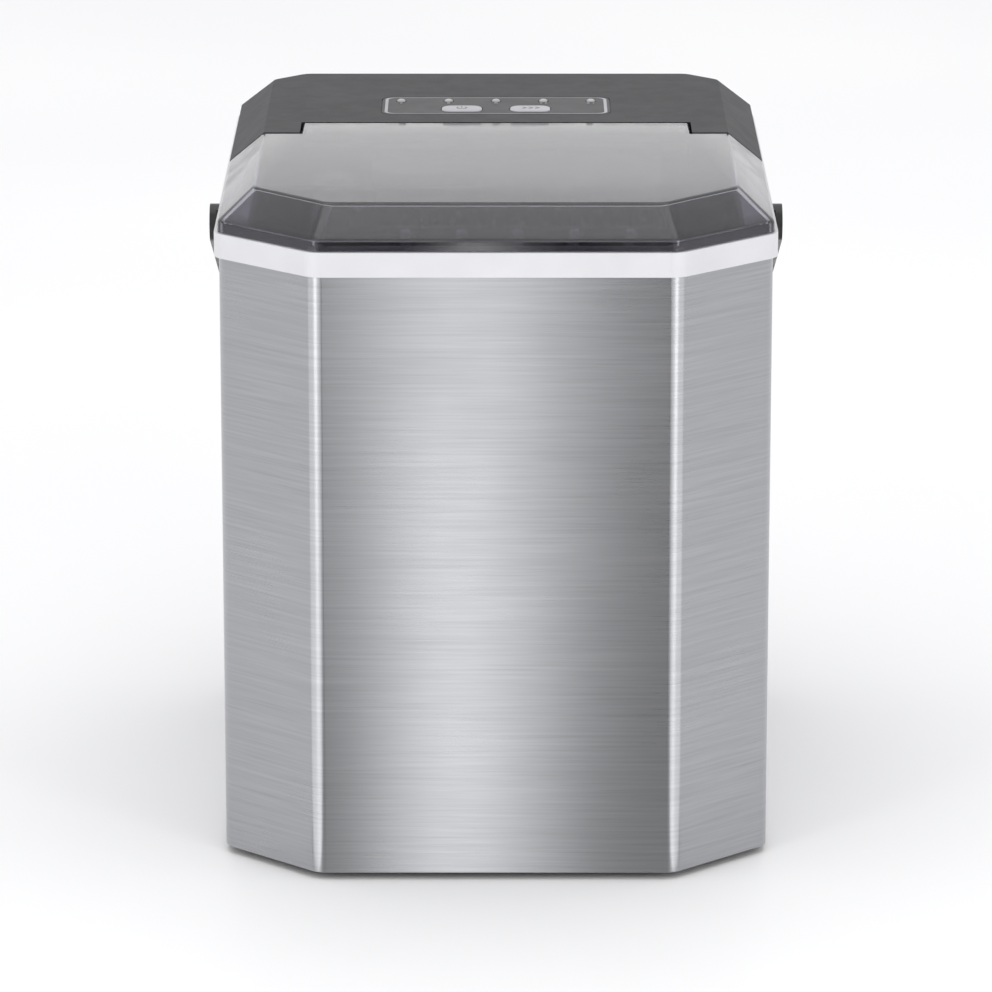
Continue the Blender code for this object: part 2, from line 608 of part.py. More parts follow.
def rear_cover():
    """Dark cover over the machine room, with two ears that carry the lid's pins."""
    soft = [0.0006, 0.0006, 0.001, 0.001, 0.006, 0.006, 0.006, 0.006, 0.001, 0.001]

    def ring(level, inset, z):
        return at_height(rounded(cover_plan(level, inset), soft, 2), z)
    rings = [ring(1, SHELL, ROOF_Z - SHELL), ring(0, SHELL, RIM_TOP - SHELL * 0.4),
             ring(0, SHELL, RIM_BOTTOM), ring(0, 0, RIM_BOTTOM), ring(0, 0, RIM_TOP),
             ring(1, 0, ROOF_Z)]
    cover = piece("rear_cover", stack(rings), "dark_plastic")
    recess = rounded(rectangle(-PANEL_WIDTH / 2 - GAP, PANEL_WIDTH / 2 + GAP,
                               PANEL_Y - PANEL_DEPTH / 2 - GAP, PANEL_Y + PANEL_DEPTH / 2 + GAP),
                     PANEL_CORNER + GAP, 3)
    cut(cover, prism(recess, ROOF_Z - PANEL_THICK - GAP, ROOF_Z + 0.002))
    slant = [(EAR_Y - EAR_CHAMFER, ROOF_Z - 2 * EAR_CHAMFER),
             (EAR_Y + 2 * EAR_CHAMFER, ROOF_Z + EAR_CHAMFER),
             (EAR_Y - EAR_CHAMFER, ROOF_Z + EAR_CHAMFER)]
    cut(cover, prism_x(slant, -WIDTH / 2, WIDTH / 2))
    for side in (-1, 1):
        x = side * KEY_SPREAD / 2
        hole = key_plan(x, GAP)
        cut(cover, prism(hole, ROOF_Z - 0.006, ROOF_Z + 0.003))
        cut(cover, rod((side * (WIDTH / 2 - SIDE_RUN - EAR_WIDTH + 0.003), HINGE_Y, HINGE_Z),
                       PIN_RADIUS + GAP, -0.0045, 0.0035, "X", 16))
    for index in range(LED_COUNT):
        cut(cover, rod((led_x(index), PANEL_Y + LED_BACK, ROOF_Z), LED_RADIUS + GAP,
                       -0.006, 0.003, "Z", 20))


def led_x(index):
    return (index - (LED_COUNT - 1) / 2) * LED_PITCH


def key_plan(x, grow):
    y = PANEL_Y - KEY_FORWARD
    half_x = KEY_WIDTH / 2 + grow
    half_y = KEY_DEPTH / 2 + grow
    return rounded(rectangle(x - half_x, x + half_x, y - half_y, y + half_y), half_y * 0.7, 4)


def control_panel():
    top = ROOF_Z
    film = rounded(rectangle(-PANEL_WIDTH / 2, PANEL_WIDTH / 2,
                             PANEL_Y - PANEL_DEPTH / 2, PANEL_Y + PANEL_DEPTH / 2), PANEL_CORNER, 3)
    overlay = piece("control_overlay", prism(film, top - PANEL_THICK, top), "panel_film")
    for side, name in ((-1, "button_power"), (1, "button_select")):
        x = side * KEY_SPREAD / 2
        cut(overlay, prism(key_plan(x, GAP), top - 0.004, top + 0.003))
        plan = key_plan(x, 0.0)
        crown = key_plan(x, -0.0008)
        flange = key_plan(x, 0.0012)
        under = top - SHELL - GAP - KEY_TRAVEL
        rings = [at_height(flange, under - 0.0012), at_height(flange, under), at_height(plan, under),
                 at_height(plan, top + KEY_PROUD - 0.0004), at_height(crown, top + KEY_PROUD)]
        piece(name, stack(rings), "key_grey", (x, PANEL_Y - KEY_FORWARD, top))
    bottom = top - SHELL - 0.0030
    guide = piece("light_guide", block(led_x(0) - 0.004, led_x(LED_COUNT - 1) + 0.004,
                                       PANEL_Y + LED_BACK - 0.003, PANEL_Y + LED_BACK + 0.003,
                                       bottom, bottom + 0.0022), "lamp_lens")
    lens = [(LED_RADIUS, bottom + 0.001), (LED_RADIUS, top), (LED_RADIUS * 0.85, top + LED_RISE * 0.6),
            (LED_RADIUS * 0.5, top + LED_RISE)]
    for index in range(LED_COUNT):
        add(guide, lathe(lens, (led_x(index), PANEL_Y + LED_BACK, 0), "Z", 20))
        cut(overlay, rod((led_x(index), PANEL_Y + LED_BACK, top), LED_RADIUS + GAP,
                         -0.003, 0.003, "Z", 20))
    board_top = bottom - GAP - 0.0006
    piece("control_board", block(-0.058, 0.058, PANEL_Y - 0.020, PANEL_Y + 0.020,
                                 board_top - 0.0016, board_top), "board_green")


def lid_pins():
    for side, name in ((-1, "left"), (1, "right")):
        x = side * (WIDTH / 2 - SIDE_RUN - EAR_WIDTH)
        piece("lid_pin_" + name, rod((x, HINGE_Y, HINGE_Z), PIN_RADIUS,
                                     -PIN_LENGTH / 2, PIN_LENGTH / 2, "X", 16), "zinc_steel",
              (x, HINGE_Y, HINGE_Z))


# ---- carrying handle ------------------------------------------------------------------------
def arm_outline(inset):
    """Side view of an arm as it stands upright over the pivot at the origin."""
    big = ARM_END - inset
    small = ARM_TIP - inset
    low = [(big * math.cos(a), big * math.sin(a))
           for a in (math.radians(180 + 180 * step / 10) for step in range(11))]
    high = [(small * math.cos(a), ARM_LENGTH + small * math.sin(a))
            for a in (math.radians(180 * step / 8) for step in range(9))]
    return low + high


def handle():
    """Bail with two channel arms and a round grip, lying back behind the body."""
    inner_x = ARM_OUTER - ARM_THICK
    web_x = ARM_OUTER - ARM_WEB
    grip = rod((0, 0, ARM_LENGTH), GRIP_RADIUS, -ARM_OUTER + 0.003, ARM_OUTER - 0.003, "X", 20)
    swing = Matrix.Translation((0, PIVOT_Y, PIVOT_Z)) @ Matrix.Rotation(
        math.radians(-90 - ARM_DROP), 4, "X")
    grip.transform(swing)
    bail = piece("handle", grip, "black_plastic", (0, PIVOT_Y, PIVOT_Z))
    for side in (-1, 1):
        arm = prism_x(arm_outline(0.0), side * inner_x, side * ARM_OUTER)
        pocket_height = ARM_LENGTH - ARM_TIP - 0.010
        pocket = block(side * (inner_x - 0.002), side * web_x,
                       -ARM_TIP + ARM_FLANGE, ARM_TIP - ARM_FLANGE, -0.02, pocket_height)
        well = rod((0, 0, 0), BOSS_RADIUS + 0.0010, side * (inner_x - 0.002), side * web_x, "X", 20)
        bore = rod((0, 0, 0), PIVOT_RADIUS + GAP, side * (inner_x - 0.01), side * (ARM_OUTER + 0.01),
                   "X", 20)
        sink = rod((0, 0, 0), PIVOT_HEAD + GAP, side * (ARM_OUTER - 0.0014),
                   side * (ARM_OUTER + 0.004), "X", 20)
        for mesh in (pocket, well, bore, sink):
            mesh.transform(swing)
        arm.transform(swing)
        add(bail, arm)
        cut(bail, pocket, well, bore, sink)


def handle_seats():
    """Moulded seats on the steel sides, with the bosses that the handle turns on."""
    inner_x = ARM_OUTER - ARM_THICK
    web_x = ARM_OUTER - ARM_WEB
    for side, name in ((-1, "left"), (1, "right")):
        wall = side * (WIDTH / 2 + GAP)
        face = side * (inner_x - GAP)
        seat = [(PIVOT_Y + y, PIVOT_Z + z) for y, z in circle(ARM_END * 0.92, 20)]
        made = piece("handle_seat_" + name, prism_x(seat, wall, face), "white_plastic",
                     (0, PIVOT_Y, PIVOT_Z))
        add(made, rod((0, PIVOT_Y, PIVOT_Z), BOSS_RADIUS, face - side * 0.001,
                      side * (web_x - GAP), "X", 20))
        cut(made, rod((0, PIVOT_Y, PIVOT_Z), PIVOT_RADIUS + GAP, side * (WIDTH / 2 - 0.002),
                      side * (ARM_OUTER + 0.002), "X", 20))
        head_in = ARM_OUTER - 0.0014 + GAP
        profile = [(PIVOT_RADIUS, side * (WIDTH / 2 + 2 * GAP)), (PIVOT_RADIUS, side * head_in),
                   (PIVOT_HEAD, side * head_in), (PIVOT_HEAD, side * (ARM_OUTER - 0.0002))]
        pin = lathe(profile, (0, PIVOT_Y, PIVOT_Z), "X", 20)
        piece("handle_pivot_" + name, pin, "zinc_steel", (0, PIVOT_Y, PIVOT_Z))


# ---- inside the chamber ---------------------------------------------------------------------
def basket_plan(inset):
    wall = LINER_INSET + LINER_WALL + BASKET_CLEAR
    corners = body_plan(-wall)
    half = corners[2][0]
    points = [corners[0], corners[1], corners[2], (half, BASKET_REAR_Y), (-half, BASKET_REAR_Y),
              corners[7]]
    return rounded(offset(points, -inset), 0.006, 2)


def ice_basket():
    floor = BASKET_Z
    top = floor + BASKET_HEIGHT
    wall = BASKET_WALL
    rings = [at_height(basket_plan(0.004), floor), at_height(basket_plan(0.0), top),
             at_height(basket_plan(wall), top), at_height(basket_plan(0.004 + wall), floor + wall)]
    basket = piece("ice_basket", stack(rings), "clear_plastic", (0, BASKET_REAR_Y, floor))
    far = WIDTH / 2
    cut(basket, block(-far, far, BASKET_REAR_Y - 0.020, BASKET_REAR_Y + 0.01,
                      floor + BASKET_REAR, top + 0.01))
    slot_count = 7
    for index in range(slot_count):
        x = (index - (slot_count - 1) / 2) * 0.018
        cut(basket, block(x - 0.003, x + 0.003, BASKET_FRONT_Y - 0.01, BASKET_FRONT_Y + 0.015,
                          floor + 0.012, top - 0.020))
        cut(basket, block(x - 0.003, x + 0.003, BASKET_FRONT_Y + 0.020, BASKET_REAR_Y - 0.015,
                          floor - 0.01, floor + 0.01))


def evaporator():
    """Cold plate with two staggered rows of fingers that ice grows on."""
    half = (FINGER_FRONT - 1) / 2 * FINGER_PITCH + 0.009
    rear = ROW_FRONT_Y + ROW_PITCH
    plate = piece("evaporator", block(EVAP_X - half, EVAP_X + half, ROW_FRONT_Y - 0.009,
                                      rear + 0.009, EVAP_BOTTOM, EVAP_TOP), "nickel", smooth=False)
    tip = EVAP_BOTTOM - FINGER_LENGTH
    for row, count in ((0, FINGER_FRONT), (1, FINGER_FRONT - 1)):
        y = ROW_FRONT_Y + row * ROW_PITCH
        for index in range(count):
            x = EVAP_X + (index - (count - 1) / 2) * FINGER_PITCH
            profile = [(FINGER_RADIUS * 0.7, tip), (FINGER_RADIUS, tip + 0.0015),
                       (FINGER_RADIUS, EVAP_BOTTOM + 0.003)]
            add(plate, lathe(profile, (x, y, 0), "Z", 12))


def tray_span():
    half = (FINGER_FRONT - 1) / 2 * FINGER_PITCH + 0.012
    return EVAP_X - half - SPOUT_ROOM, EVAP_X + half


def water_tray():
    """Tray that the fingers dip into; it tips about an axis near its rear edge."""
    x0, x1 = tray_span()
    wall = TRAY_WALL
    slope = 0.004
    rings = [at_height(rectangle(x0 + slope, x1 - slope, TRAY_FRONT_Y + slope, TRAY_REAR_Y - slope),
                       TRAY_BOTTOM),
             at_height(rectangle(x0, x1, TRAY_FRONT_Y, TRAY_REAR_Y), TRAY_TOP),
             at_height(rectangle(x0 + wall, x1 - wall, TRAY_FRONT_Y + wall, TRAY_REAR_Y - wall),
                       TRAY_TOP),
             at_height(rectangle(x0 + slope + wall, x1 - slope - wall, TRAY_FRONT_Y + slope + wall,
                                 TRAY_REAR_Y - slope - wall), TRAY_BOTTOM + wall)]
    tray = piece("water_tray", stack(rings), "grey_plastic", (0, TRAY_AXIS_Y, TRAY_AXIS_Z))
    ear = 0.0028
    for x in (x0, x1):
        away = -1 if x == x0 else 1
        add(tray, rod((x, TRAY_AXIS_Y - 0.002, TRAY_AXIS_Z - 0.002), ear,
                      min(0, away * 0.006) - 0.0009, max(0, away * 0.006) + 0.0009, "X", 14))


def tray_motor():
    """Gear motor beside the tray that tips it."""
    _, x1 = tray_span()
    face = x1 + 0.0075
    motor = piece("tray_motor", block(face, face + 0.016, TRAY_AXIS_Y - 0.016, TRAY_AXIS_Y + 0.008,
                                      TRAY_AXIS_Z - 0.016, TRAY_AXIS_Z + 0.006), "grey_plastic")
    add(motor, rod((face + 0.008, TRAY_AXIS_Y - 0.004, TRAY_AXIS_Z - 0.030), 0.0065,
                   0.0, 0.020, "Z", 16))


def ice_guide():
    """Sloping slats under the tray that lead the ice into the basket."""
    back_y = LINER_REAR_Y - LINER_WALL - 0.004
    front_y = BASKET_REAR_Y + 0.0015
    low = BASKET_Z + BASKET_REAR + 0.001
    high = low + 0.012
    side = [(front_y, low), (back_y, high), (back_y, high + 0.002), (front_y, low + 0.002)]
    x0, x1 = tray_span()
    guide = piece("ice_guide", prism_x(side, x0, x1 + 0.012), "grey_plastic")
    for index in range(7):
        x = EVAP_X + (index - 3) * 0.020
        cut(guide, block(x - 0.003, x + 0.003, front_y + 0.012, back_y - 0.010,
                         low - 0.01, high + 0.02))


def pump():
    """Small tank pump: an open-bottomed housing around its impeller."""
    y = LINER_REAR_Y - 0.036
    z = SUMP_Z + LINER_WALL + GAP + 0.004
    wall = 0.0018
    profile = [(PUMP_RADIUS - 0.006, PUMP_HEIGHT * 0.45), (PUMP_RADIUS - wall, PUMP_HEIGHT * 0.45),
               (PUMP_RADIUS - wall, 0.0), (PUMP_RADIUS, 0.0), (PUMP_RADIUS, PUMP_HEIGHT * 0.7),
               (PUMP_RADIUS * 0.6, PUMP_HEIGHT)]
    housing = piece("pump_housing", lathe(profile, (PUMP_X, y, z), "Z", 20), "black_plastic")
    add(housing, rod((PUMP_X - PUMP_RADIUS + 0.001, y, z + PUMP_HEIGHT * 0.5), 0.003,
                     0.0, 0.014, "Z", 12))
    hub = piece("pump_impeller", rod((PUMP_X, y, z), 0.004, 0.001, PUMP_HEIGHT * 0.45 - 0.001,
                                     "Z", 12), "white_plastic", (PUMP_X, y, z))
    for index in range(6):
        blade = block(0.002, PUMP_RADIUS - wall - 0.0012, -0.0006, 0.0006, 0.002,
                      PUMP_HEIGHT * 0.45 - 0.002)
        blade.transform(Matrix.Translation((PUMP_X, y, z))
                        @ Matrix.Rotation(math.radians(60 * index), 4, "Z"))
        add(hub, blade)


def water_spout():
    """Silicone tube from the tank pump up to the tray."""
    x0, _ = tray_span()
    x = PUMP_X - PUMP_RADIUS + 0.001
    y = LINER_REAR_Y - 0.036
    start = SUMP_Z + LINER_WALL + GAP + 0.004 + PUMP_HEIGHT * 0.5 + 0.014 + GAP
    y_tray = ROW_FRONT_Y + ROW_PITCH / 3
    tip = x0 + TRAY_WALL + 0.0046
    tube("water_spout", [(x, y, start), (x, y - 0.002, start + 0.016),
                         (x, y_tray + 0.004, start + 0.040), (x, y_tray, TRAY_TOP - 0.026),
                         (x + 0.0004, y_tray, TRAY_TOP), (x + 0.006, y_tray, TRAY_TOP + 0.0085),
                         (tip - 0.005, y_tray, TRAY_TOP + 0.0085), (tip, y_tray, TRAY_TOP + 0.004)],
         0.0024, "silicone")


def ice_sensors():
    """Light eyes on the side walls that see when the basket is full."""
    wall = WIDTH / 2 - LINER_INSET - LINER_WALL
    for side, name in ((-1, "left"), (1, "right")):
        profile = [(0.0050, side * (wall - GAP)), (0.0050, side * (wall - 0.0012)),
                   (0.0030, side * (wall - 0.0020))]
        eye = lathe(profile, (0, FRONT_Y + 0.095, STEEL_TOP - 0.010), "X", 16)
        piece("ice_sensor_" + name, eye, "black_plastic")


def drain():
    """Outlet elbow under the tank and the plug that closes it under the base."""
    plug_top = FLOOR_Z + 0.010
    profile = [(DRAIN_RADIUS * 1.35, 0.0006), (DRAIN_RADIUS * 1.35, 0.0026),
               (DRAIN_RADIUS * 0.72, 0.0030), (DRAIN_RADIUS * 0.66, plug_top)]
    plug = piece("drain_plug", lathe(profile, (0, DRAIN_Y, 0), "Z", 20), "rubber",
                 (0, DRAIN_Y, 0))
    cut(plug, block(-0.0045, 0.0045, DRAIN_Y - 0.0007, DRAIN_Y + 0.0007, -0.001, 0.0014))
    wall = 0.0014
    route_top = SUMP_Z - GAP
    bottom = 0.0036
    lower = circle(DRAIN_RADIUS + wall, 16, (0, DRAIN_Y))
    upper = circle(DRAIN_RADIUS + wall, 16, (0, DRAIN_Y + 0.012))
    hole_low = circle(DRAIN_RADIUS, 16, (0, DRAIN_Y))
    hole_high = circle(DRAIN_RADIUS, 16, (0, DRAIN_Y + 0.012))
    bend_low = FLOOR_Z + 0.030
    bend_high = SUMP_Z - 0.020
    rings = [at_height(lower, bottom), at_height(lower, bend_low), at_height(upper, bend_high),
             at_height(upper, route_top), at_height(hole_high, route_top),
             at_height(hole_high, bend_high), at_height(hole_low, bend_low),
             at_height(hole_low, bottom)]
    piece("drain_tube", stack(rings, loop=True), "silicone")


# ---- machine room ---------------------------------------------------------------------------
def grommet_spots():
    reach = COMPRESSOR_RADIUS - 0.008
    for index, name in enumerate(("front", "left", "right")):
        angle = math.radians(-90 + 120 * index)
        yield name, COMPRESSOR_X + reach * math.cos(angle), COMPRESSOR_Y + reach * math.sin(angle)


def compressor():
    r = COMPRESSOR_RADIUS
    h = COMPRESSOR_HEIGHT
    profile = [(r * 0.70, 0.0), (r * 0.93, 0.006), (r, 0.016), (r, h * 0.52), (r * 1.03, h * 0.53),
               (r * 1.03, h * 0.57), (r, h * 0.58), (r, h - 0.022), (r * 0.86, h - 0.008),
               (r * 0.5, h)]
    can = piece("compressor", lathe(profile, (COMPRESSOR_X, COMPRESSOR_Y, CAN_Z), "Z", 28),
                "black_enamel", smooth=True)
    add(can, block(COMPRESSOR_X - r - 0.007, COMPRESSOR_X - r + 0.010, COMPRESSOR_Y - 0.014,
                   COMPRESSOR_Y + 0.014, CAN_Z + 0.040, CAN_Z + 0.066))
    plan = rounded([(COMPRESSOR_X - r, COMPRESSOR_Y - r * 0.9), (COMPRESSOR_X + r, COMPRESSOR_Y - r * 0.9),
                    (COMPRESSOR_X + r, COMPRESSOR_Y + r * 0.7), (COMPRESSOR_X - r, COMPRESSOR_Y + r * 0.7)],
                   0.010, 3)
    bracket = piece("compressor_bracket", prism(plan, BRACKET_Z, BRACKET_Z + 0.002), "zinc_steel")
    for name, x, y in grommet_spots():
        cut(bracket, rod((x, y, BRACKET_Z), 0.0034, -0.005, 0.008, "Z", 14))
        profile = [(0.0062, 0.0), (0.0062, GROMMET_HEIGHT - GAP), (0.0030, GROMMET_HEIGHT - GAP),
                   (0.0030, GROMMET_HEIGHT + 0.0022)]
        piece("compressor_grommet_" + name, lathe(profile, (x, y, FLOOR_Z + GAP), "Z", 16), "rubber")


def condenser():
    """Finned block of four tubes in front of the fan."""
    half = FAN_RADIUS + 0.003
    x0 = FAN_X - half
    x1 = FAN_X + half
    z0 = FAN_Z - half
    z1 = FAN_Z + half
    mid = CONDENSER_Y + CONDENSER_THICK / 2
    pitch = (z1 - z0) / CONDENSER_ROWS
    core = piece("condenser", rod((0, mid, z0 + pitch / 2), 0.0035, x0 - 0.004, x1 + 0.004, "X", 8),
                 "aluminium", smooth=False)
    for row in range(1, CONDENSER_ROWS):
        add(core, rod((0, mid, z0 + (row + 0.5) * pitch), 0.0035, x0 - 0.004, x1 + 0.004, "X", 8))
    fins = 11
    for index in range(fins):
        x = x0 + 0.001 + index * (x1 - x0 - 0.002) / (fins - 1)
        add(core, block(x - 0.0006, x + 0.0006, CONDENSER_Y, CONDENSER_Y + CONDENSER_THICK, z0, z1))


def fan():
    shroud_y = CONDENSER_Y + CONDENSER_THICK + 0.0015
    half = FAN_RADIUS + 0.004
    wall = 0.002
    depth = 0.022
    outer = rounded(rectangle(FAN_X - half, FAN_X + half, FAN_Z - half, FAN_Z + half), 0.004, 6)
    hole = circle(FAN_RADIUS + 0.0015, len(outer), (FAN_X, FAN_Z))
    start = min(range(len(outer)), key=lambda i: (Vector(outer[i]) - Vector(hole[0])).length)
    outer = outer[start:] + outer[:start]

    def ring(points, y):
        return [(x, y, z) for x, z in points]
    rings = [ring(outer, shroud_y), ring(outer, shroud_y + wall),
             ring(circle(FAN_RADIUS + 0.0035, len(outer), (FAN_X, FAN_Z)), shroud_y + wall + 0.001),
             ring(circle(FAN_RADIUS + 0.0035, len(outer), (FAN_X, FAN_Z)), shroud_y + depth),
             ring(hole, shroud_y + depth), ring(hole, shroud_y)]
    shroud = piece("fan_shroud", stack(rings, loop=True), "black_plastic")
    arm_y = shroud_y + depth - 0.0025
    for turn in (0, 120, 240):
        arm = block(0.008, FAN_RADIUS + 0.0030, 0.0, 0.0022, -0.0022, 0.0022)
        arm.transform(Matrix.Translation((FAN_X, arm_y, FAN_Z)) @ Matrix.Rotation(math.radians(turn), 4, "Y"))
        add(shroud, arm)
    add(shroud, rod((FAN_X, arm_y, FAN_Z), 0.013, 0.0, 0.0022, "Y", 20))
    motor_y = arm_y + 0.0022 + GAP
    piece("fan_motor", lathe([(0.015, 0.0), (0.015, 0.012), (0.011, 0.016)],
                             (FAN_X, motor_y, FAN_Z), "Y", 20), "zinc_steel")
    hub_y = shroud_y + 0.004
    hub_depth = arm_y - GAP - hub_y - 0.001
    rotor = piece("fan_rotor", lathe([(0.009, 0.0), (0.0115, 0.002), (0.0115, hub_depth)],
                                     (FAN_X, hub_y, FAN_Z), "Y", 20), "black_plastic",
                  (FAN_X, hub_y, FAN_Z))
    for index in range(FAN_BLADES):
        blade = block(0.008, FAN_RADIUS - 0.0015, -0.0005, 0.0005, -0.0055, 0.0055)
        blade.transform(Matrix.Translation((FAN_X, hub_y + hub_depth / 2, FAN_Z))
                        @ Matrix.Rotation(2 * math.pi * index / FAN_BLADES, 4, "Y")
                        @ Matrix.Rotation(math.radians(38), 4, "X"))
        add(rotor, blade)


def into_evaporator(x):
    """Last stretch of a line: through the chamber wall and into the cold plate."""
    evap_rear = ROW_FRONT_Y + ROW_PITCH + 0.009
    line_z = EVAP_BOTTOM + TUBE_RADIUS + 0.0002
    return [(x, LINER_REAR_Y + 0.006, TUBE_EXIT_Z), (x, LINER_REAR_Y - 0.003, TUBE_EXIT_Z),
            (x, LINER_REAR_Y - 0.013, (TUBE_EXIT_Z + line_z) / 2 + 0.002),
            (x, evap_rear + 0.012, line_z), (x, evap_rear + GAP, line_z)]


def refrigerant_circuit():
    """Copper lines between compressor, condenser, filter, valve and evaporator."""
    top = CAN_Z + COMPRESSOR_HEIGHT + GAP
    suction = (COMPRESSOR_X + 0.012, COMPRESSOR_Y)
    tube("suction_tube", [(*suction, top), (*suction, top + 0.014),
                          (SUCTION_X + 0.008, ROOM_Y + 0.026, top + 0.040),
                          (SUCTION_X + 0.002, ROOM_Y + 0.016, TUBE_EXIT_Z - 0.040),
                          (SUCTION_X, ROOM_Y + 0.012, TUBE_EXIT_Z - 0.012)]
         + into_evaporator(SUCTION_X), TUBE_RADIUS, "copper")

    coil_x = FAN_X + FAN_RADIUS + 0.003 + 0.004 + GAP
    coil_y = CONDENSER_Y + CONDENSER_THICK / 2
    pitch = 2 * (FAN_RADIUS + 0.003) / CONDENSER_ROWS
    high = FAN_Z + (CONDENSER_ROWS / 2 - 0.5) * pitch
    low = FAN_Z - (CONDENSER_ROWS / 2 - 0.5) * pitch
    port = (COMPRESSOR_X - 0.012, COMPRESSOR_Y - 0.006)
    tube("discharge_tube", [(*port, top), (*port, top + 0.010),
                            (port[0] - 0.012, port[1] - 0.008, top + 0.018),
                            (coil_x + 0.022, coil_y + 0.004, top + 0.006),
                            (coil_x + 0.012, coil_y, high + 0.006),
                            (coil_x + 0.006, coil_y, high), (coil_x, coil_y, high)],
         TUBE_RADIUS, "copper")

    drier_x = coil_x + 0.002
    drier_y = CONDENSER_Y + CONDENSER_THICK + 0.014
    drier_z = top + 0.020
    rise_x = coil_x + 0.0070
    tube("liquid_tube", [(coil_x, coil_y, low), (coil_x + 0.005, coil_y + 0.001, low + 0.001),
                         (rise_x, coil_y + 0.006, low + 0.006),
                         (rise_x, coil_y + 0.010, low + 0.018),
                         (rise_x, coil_y + 0.010, high + 0.002),
                         (drier_x + 0.003, drier_y - 0.002, top + 0.004),
                         (drier_x, drier_y, drier_z - 0.008), (drier_x, drier_y, drier_z - GAP)],
         TUBE_RADIUS, "copper")
    profile = [(0.003, 0.0), (0.009, 0.008), (0.009, 0.042), (0.003, 0.050)]
    piece("filter_drier", lathe(profile, (drier_x, drier_y, drier_z), "Z", 18), "copper")
    tube("capillary_tube", [(drier_x, drier_y, drier_z + 0.050 + GAP),
                            (drier_x, drier_y, drier_z + 0.060),
                            (drier_x - 0.010, drier_y - 0.010, drier_z + 0.074),
                            (CAPILLARY_X + 0.008, ROOM_Y + 0.014, TUBE_EXIT_Z - 0.008)]
         + into_evaporator(CAPILLARY_X), 0.0012, "copper")

    valve = (COMPRESSOR_X - 0.020, COMPRESSOR_Y + 0.006, top + 0.038)
    port = (COMPRESSOR_X - 0.004, COMPRESSOR_Y + 0.014)
    tube("hot_gas_tube", [(*port, top), (*port, top + 0.012),
                          (valve[0] + 0.006, valve[1] + 0.004, valve[2] - 0.014),
                          (valve[0], valve[1], valve[2] - 0.006),
                          (valve[0], valve[1], valve[2] - GAP)], TUBE_RADIUS, "copper")
    profile = [(0.004, 0.0), (0.007, 0.002), (0.007, 0.012), (0.0125, 0.012), (0.0125, 0.034),
               (0.005, 0.036), (0.005, 0.040)]
    piece("solenoid_valve", lathe(profile, valve, "Z", 20), "black_enamel")
    front = valve[1] - 0.007 - GAP
    tube("defrost_tube", [(valve[0], front, valve[2] + 0.007), (valve[0], front - 0.010, valve[2] + 0.008),
                          (HOT_GAS_X + 0.003, ROOM_Y + 0.022, valve[2] + 0.026),
                          (HOT_GAS_X, ROOM_Y + 0.012, TUBE_EXIT_Z - 0.010)]
         + into_evaporator(HOT_GAS_X), TUBE_RADIUS, "copper")


def power_board():
    y = ROOM_Y
    piece("power_board", block(-WIDTH / 2 + 0.028, -0.010, y, y + 0.0016,
                               STEEL_TOP - 0.095, STEEL_TOP - 0.030), "board_green")


def clear_scene():
    for thing in list(bpy.data.objects):
        bpy.data.objects.remove(thing, do_unlink=True)


def build():
    clear_scene()
    steel_wrap()
    rear_panel()
    inlet_gland()
    rear_screws()
    base_pan()
    feet()
    top_frame()
    inner_liner()
    lid()
    rear_cover()
    control_panel()
    lid_pins()
    handle()
    handle_seats()
    ice_basket()
    evaporator()
    water_tray()
    tray_motor()
    ice_guide()
    pump()
    water_spout()
    ice_sensors()
    drain()
    compressor()
    condenser()
    fan()
    refrigerant_circuit()
    power_board()


build()
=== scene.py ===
"""Finished look of a countertop ice maker, laid out as an add-on and run as a script.

Metres, +Z up, front towards -Y. Every piece stands where the frame's own nodes stand.
"""
import json
import math

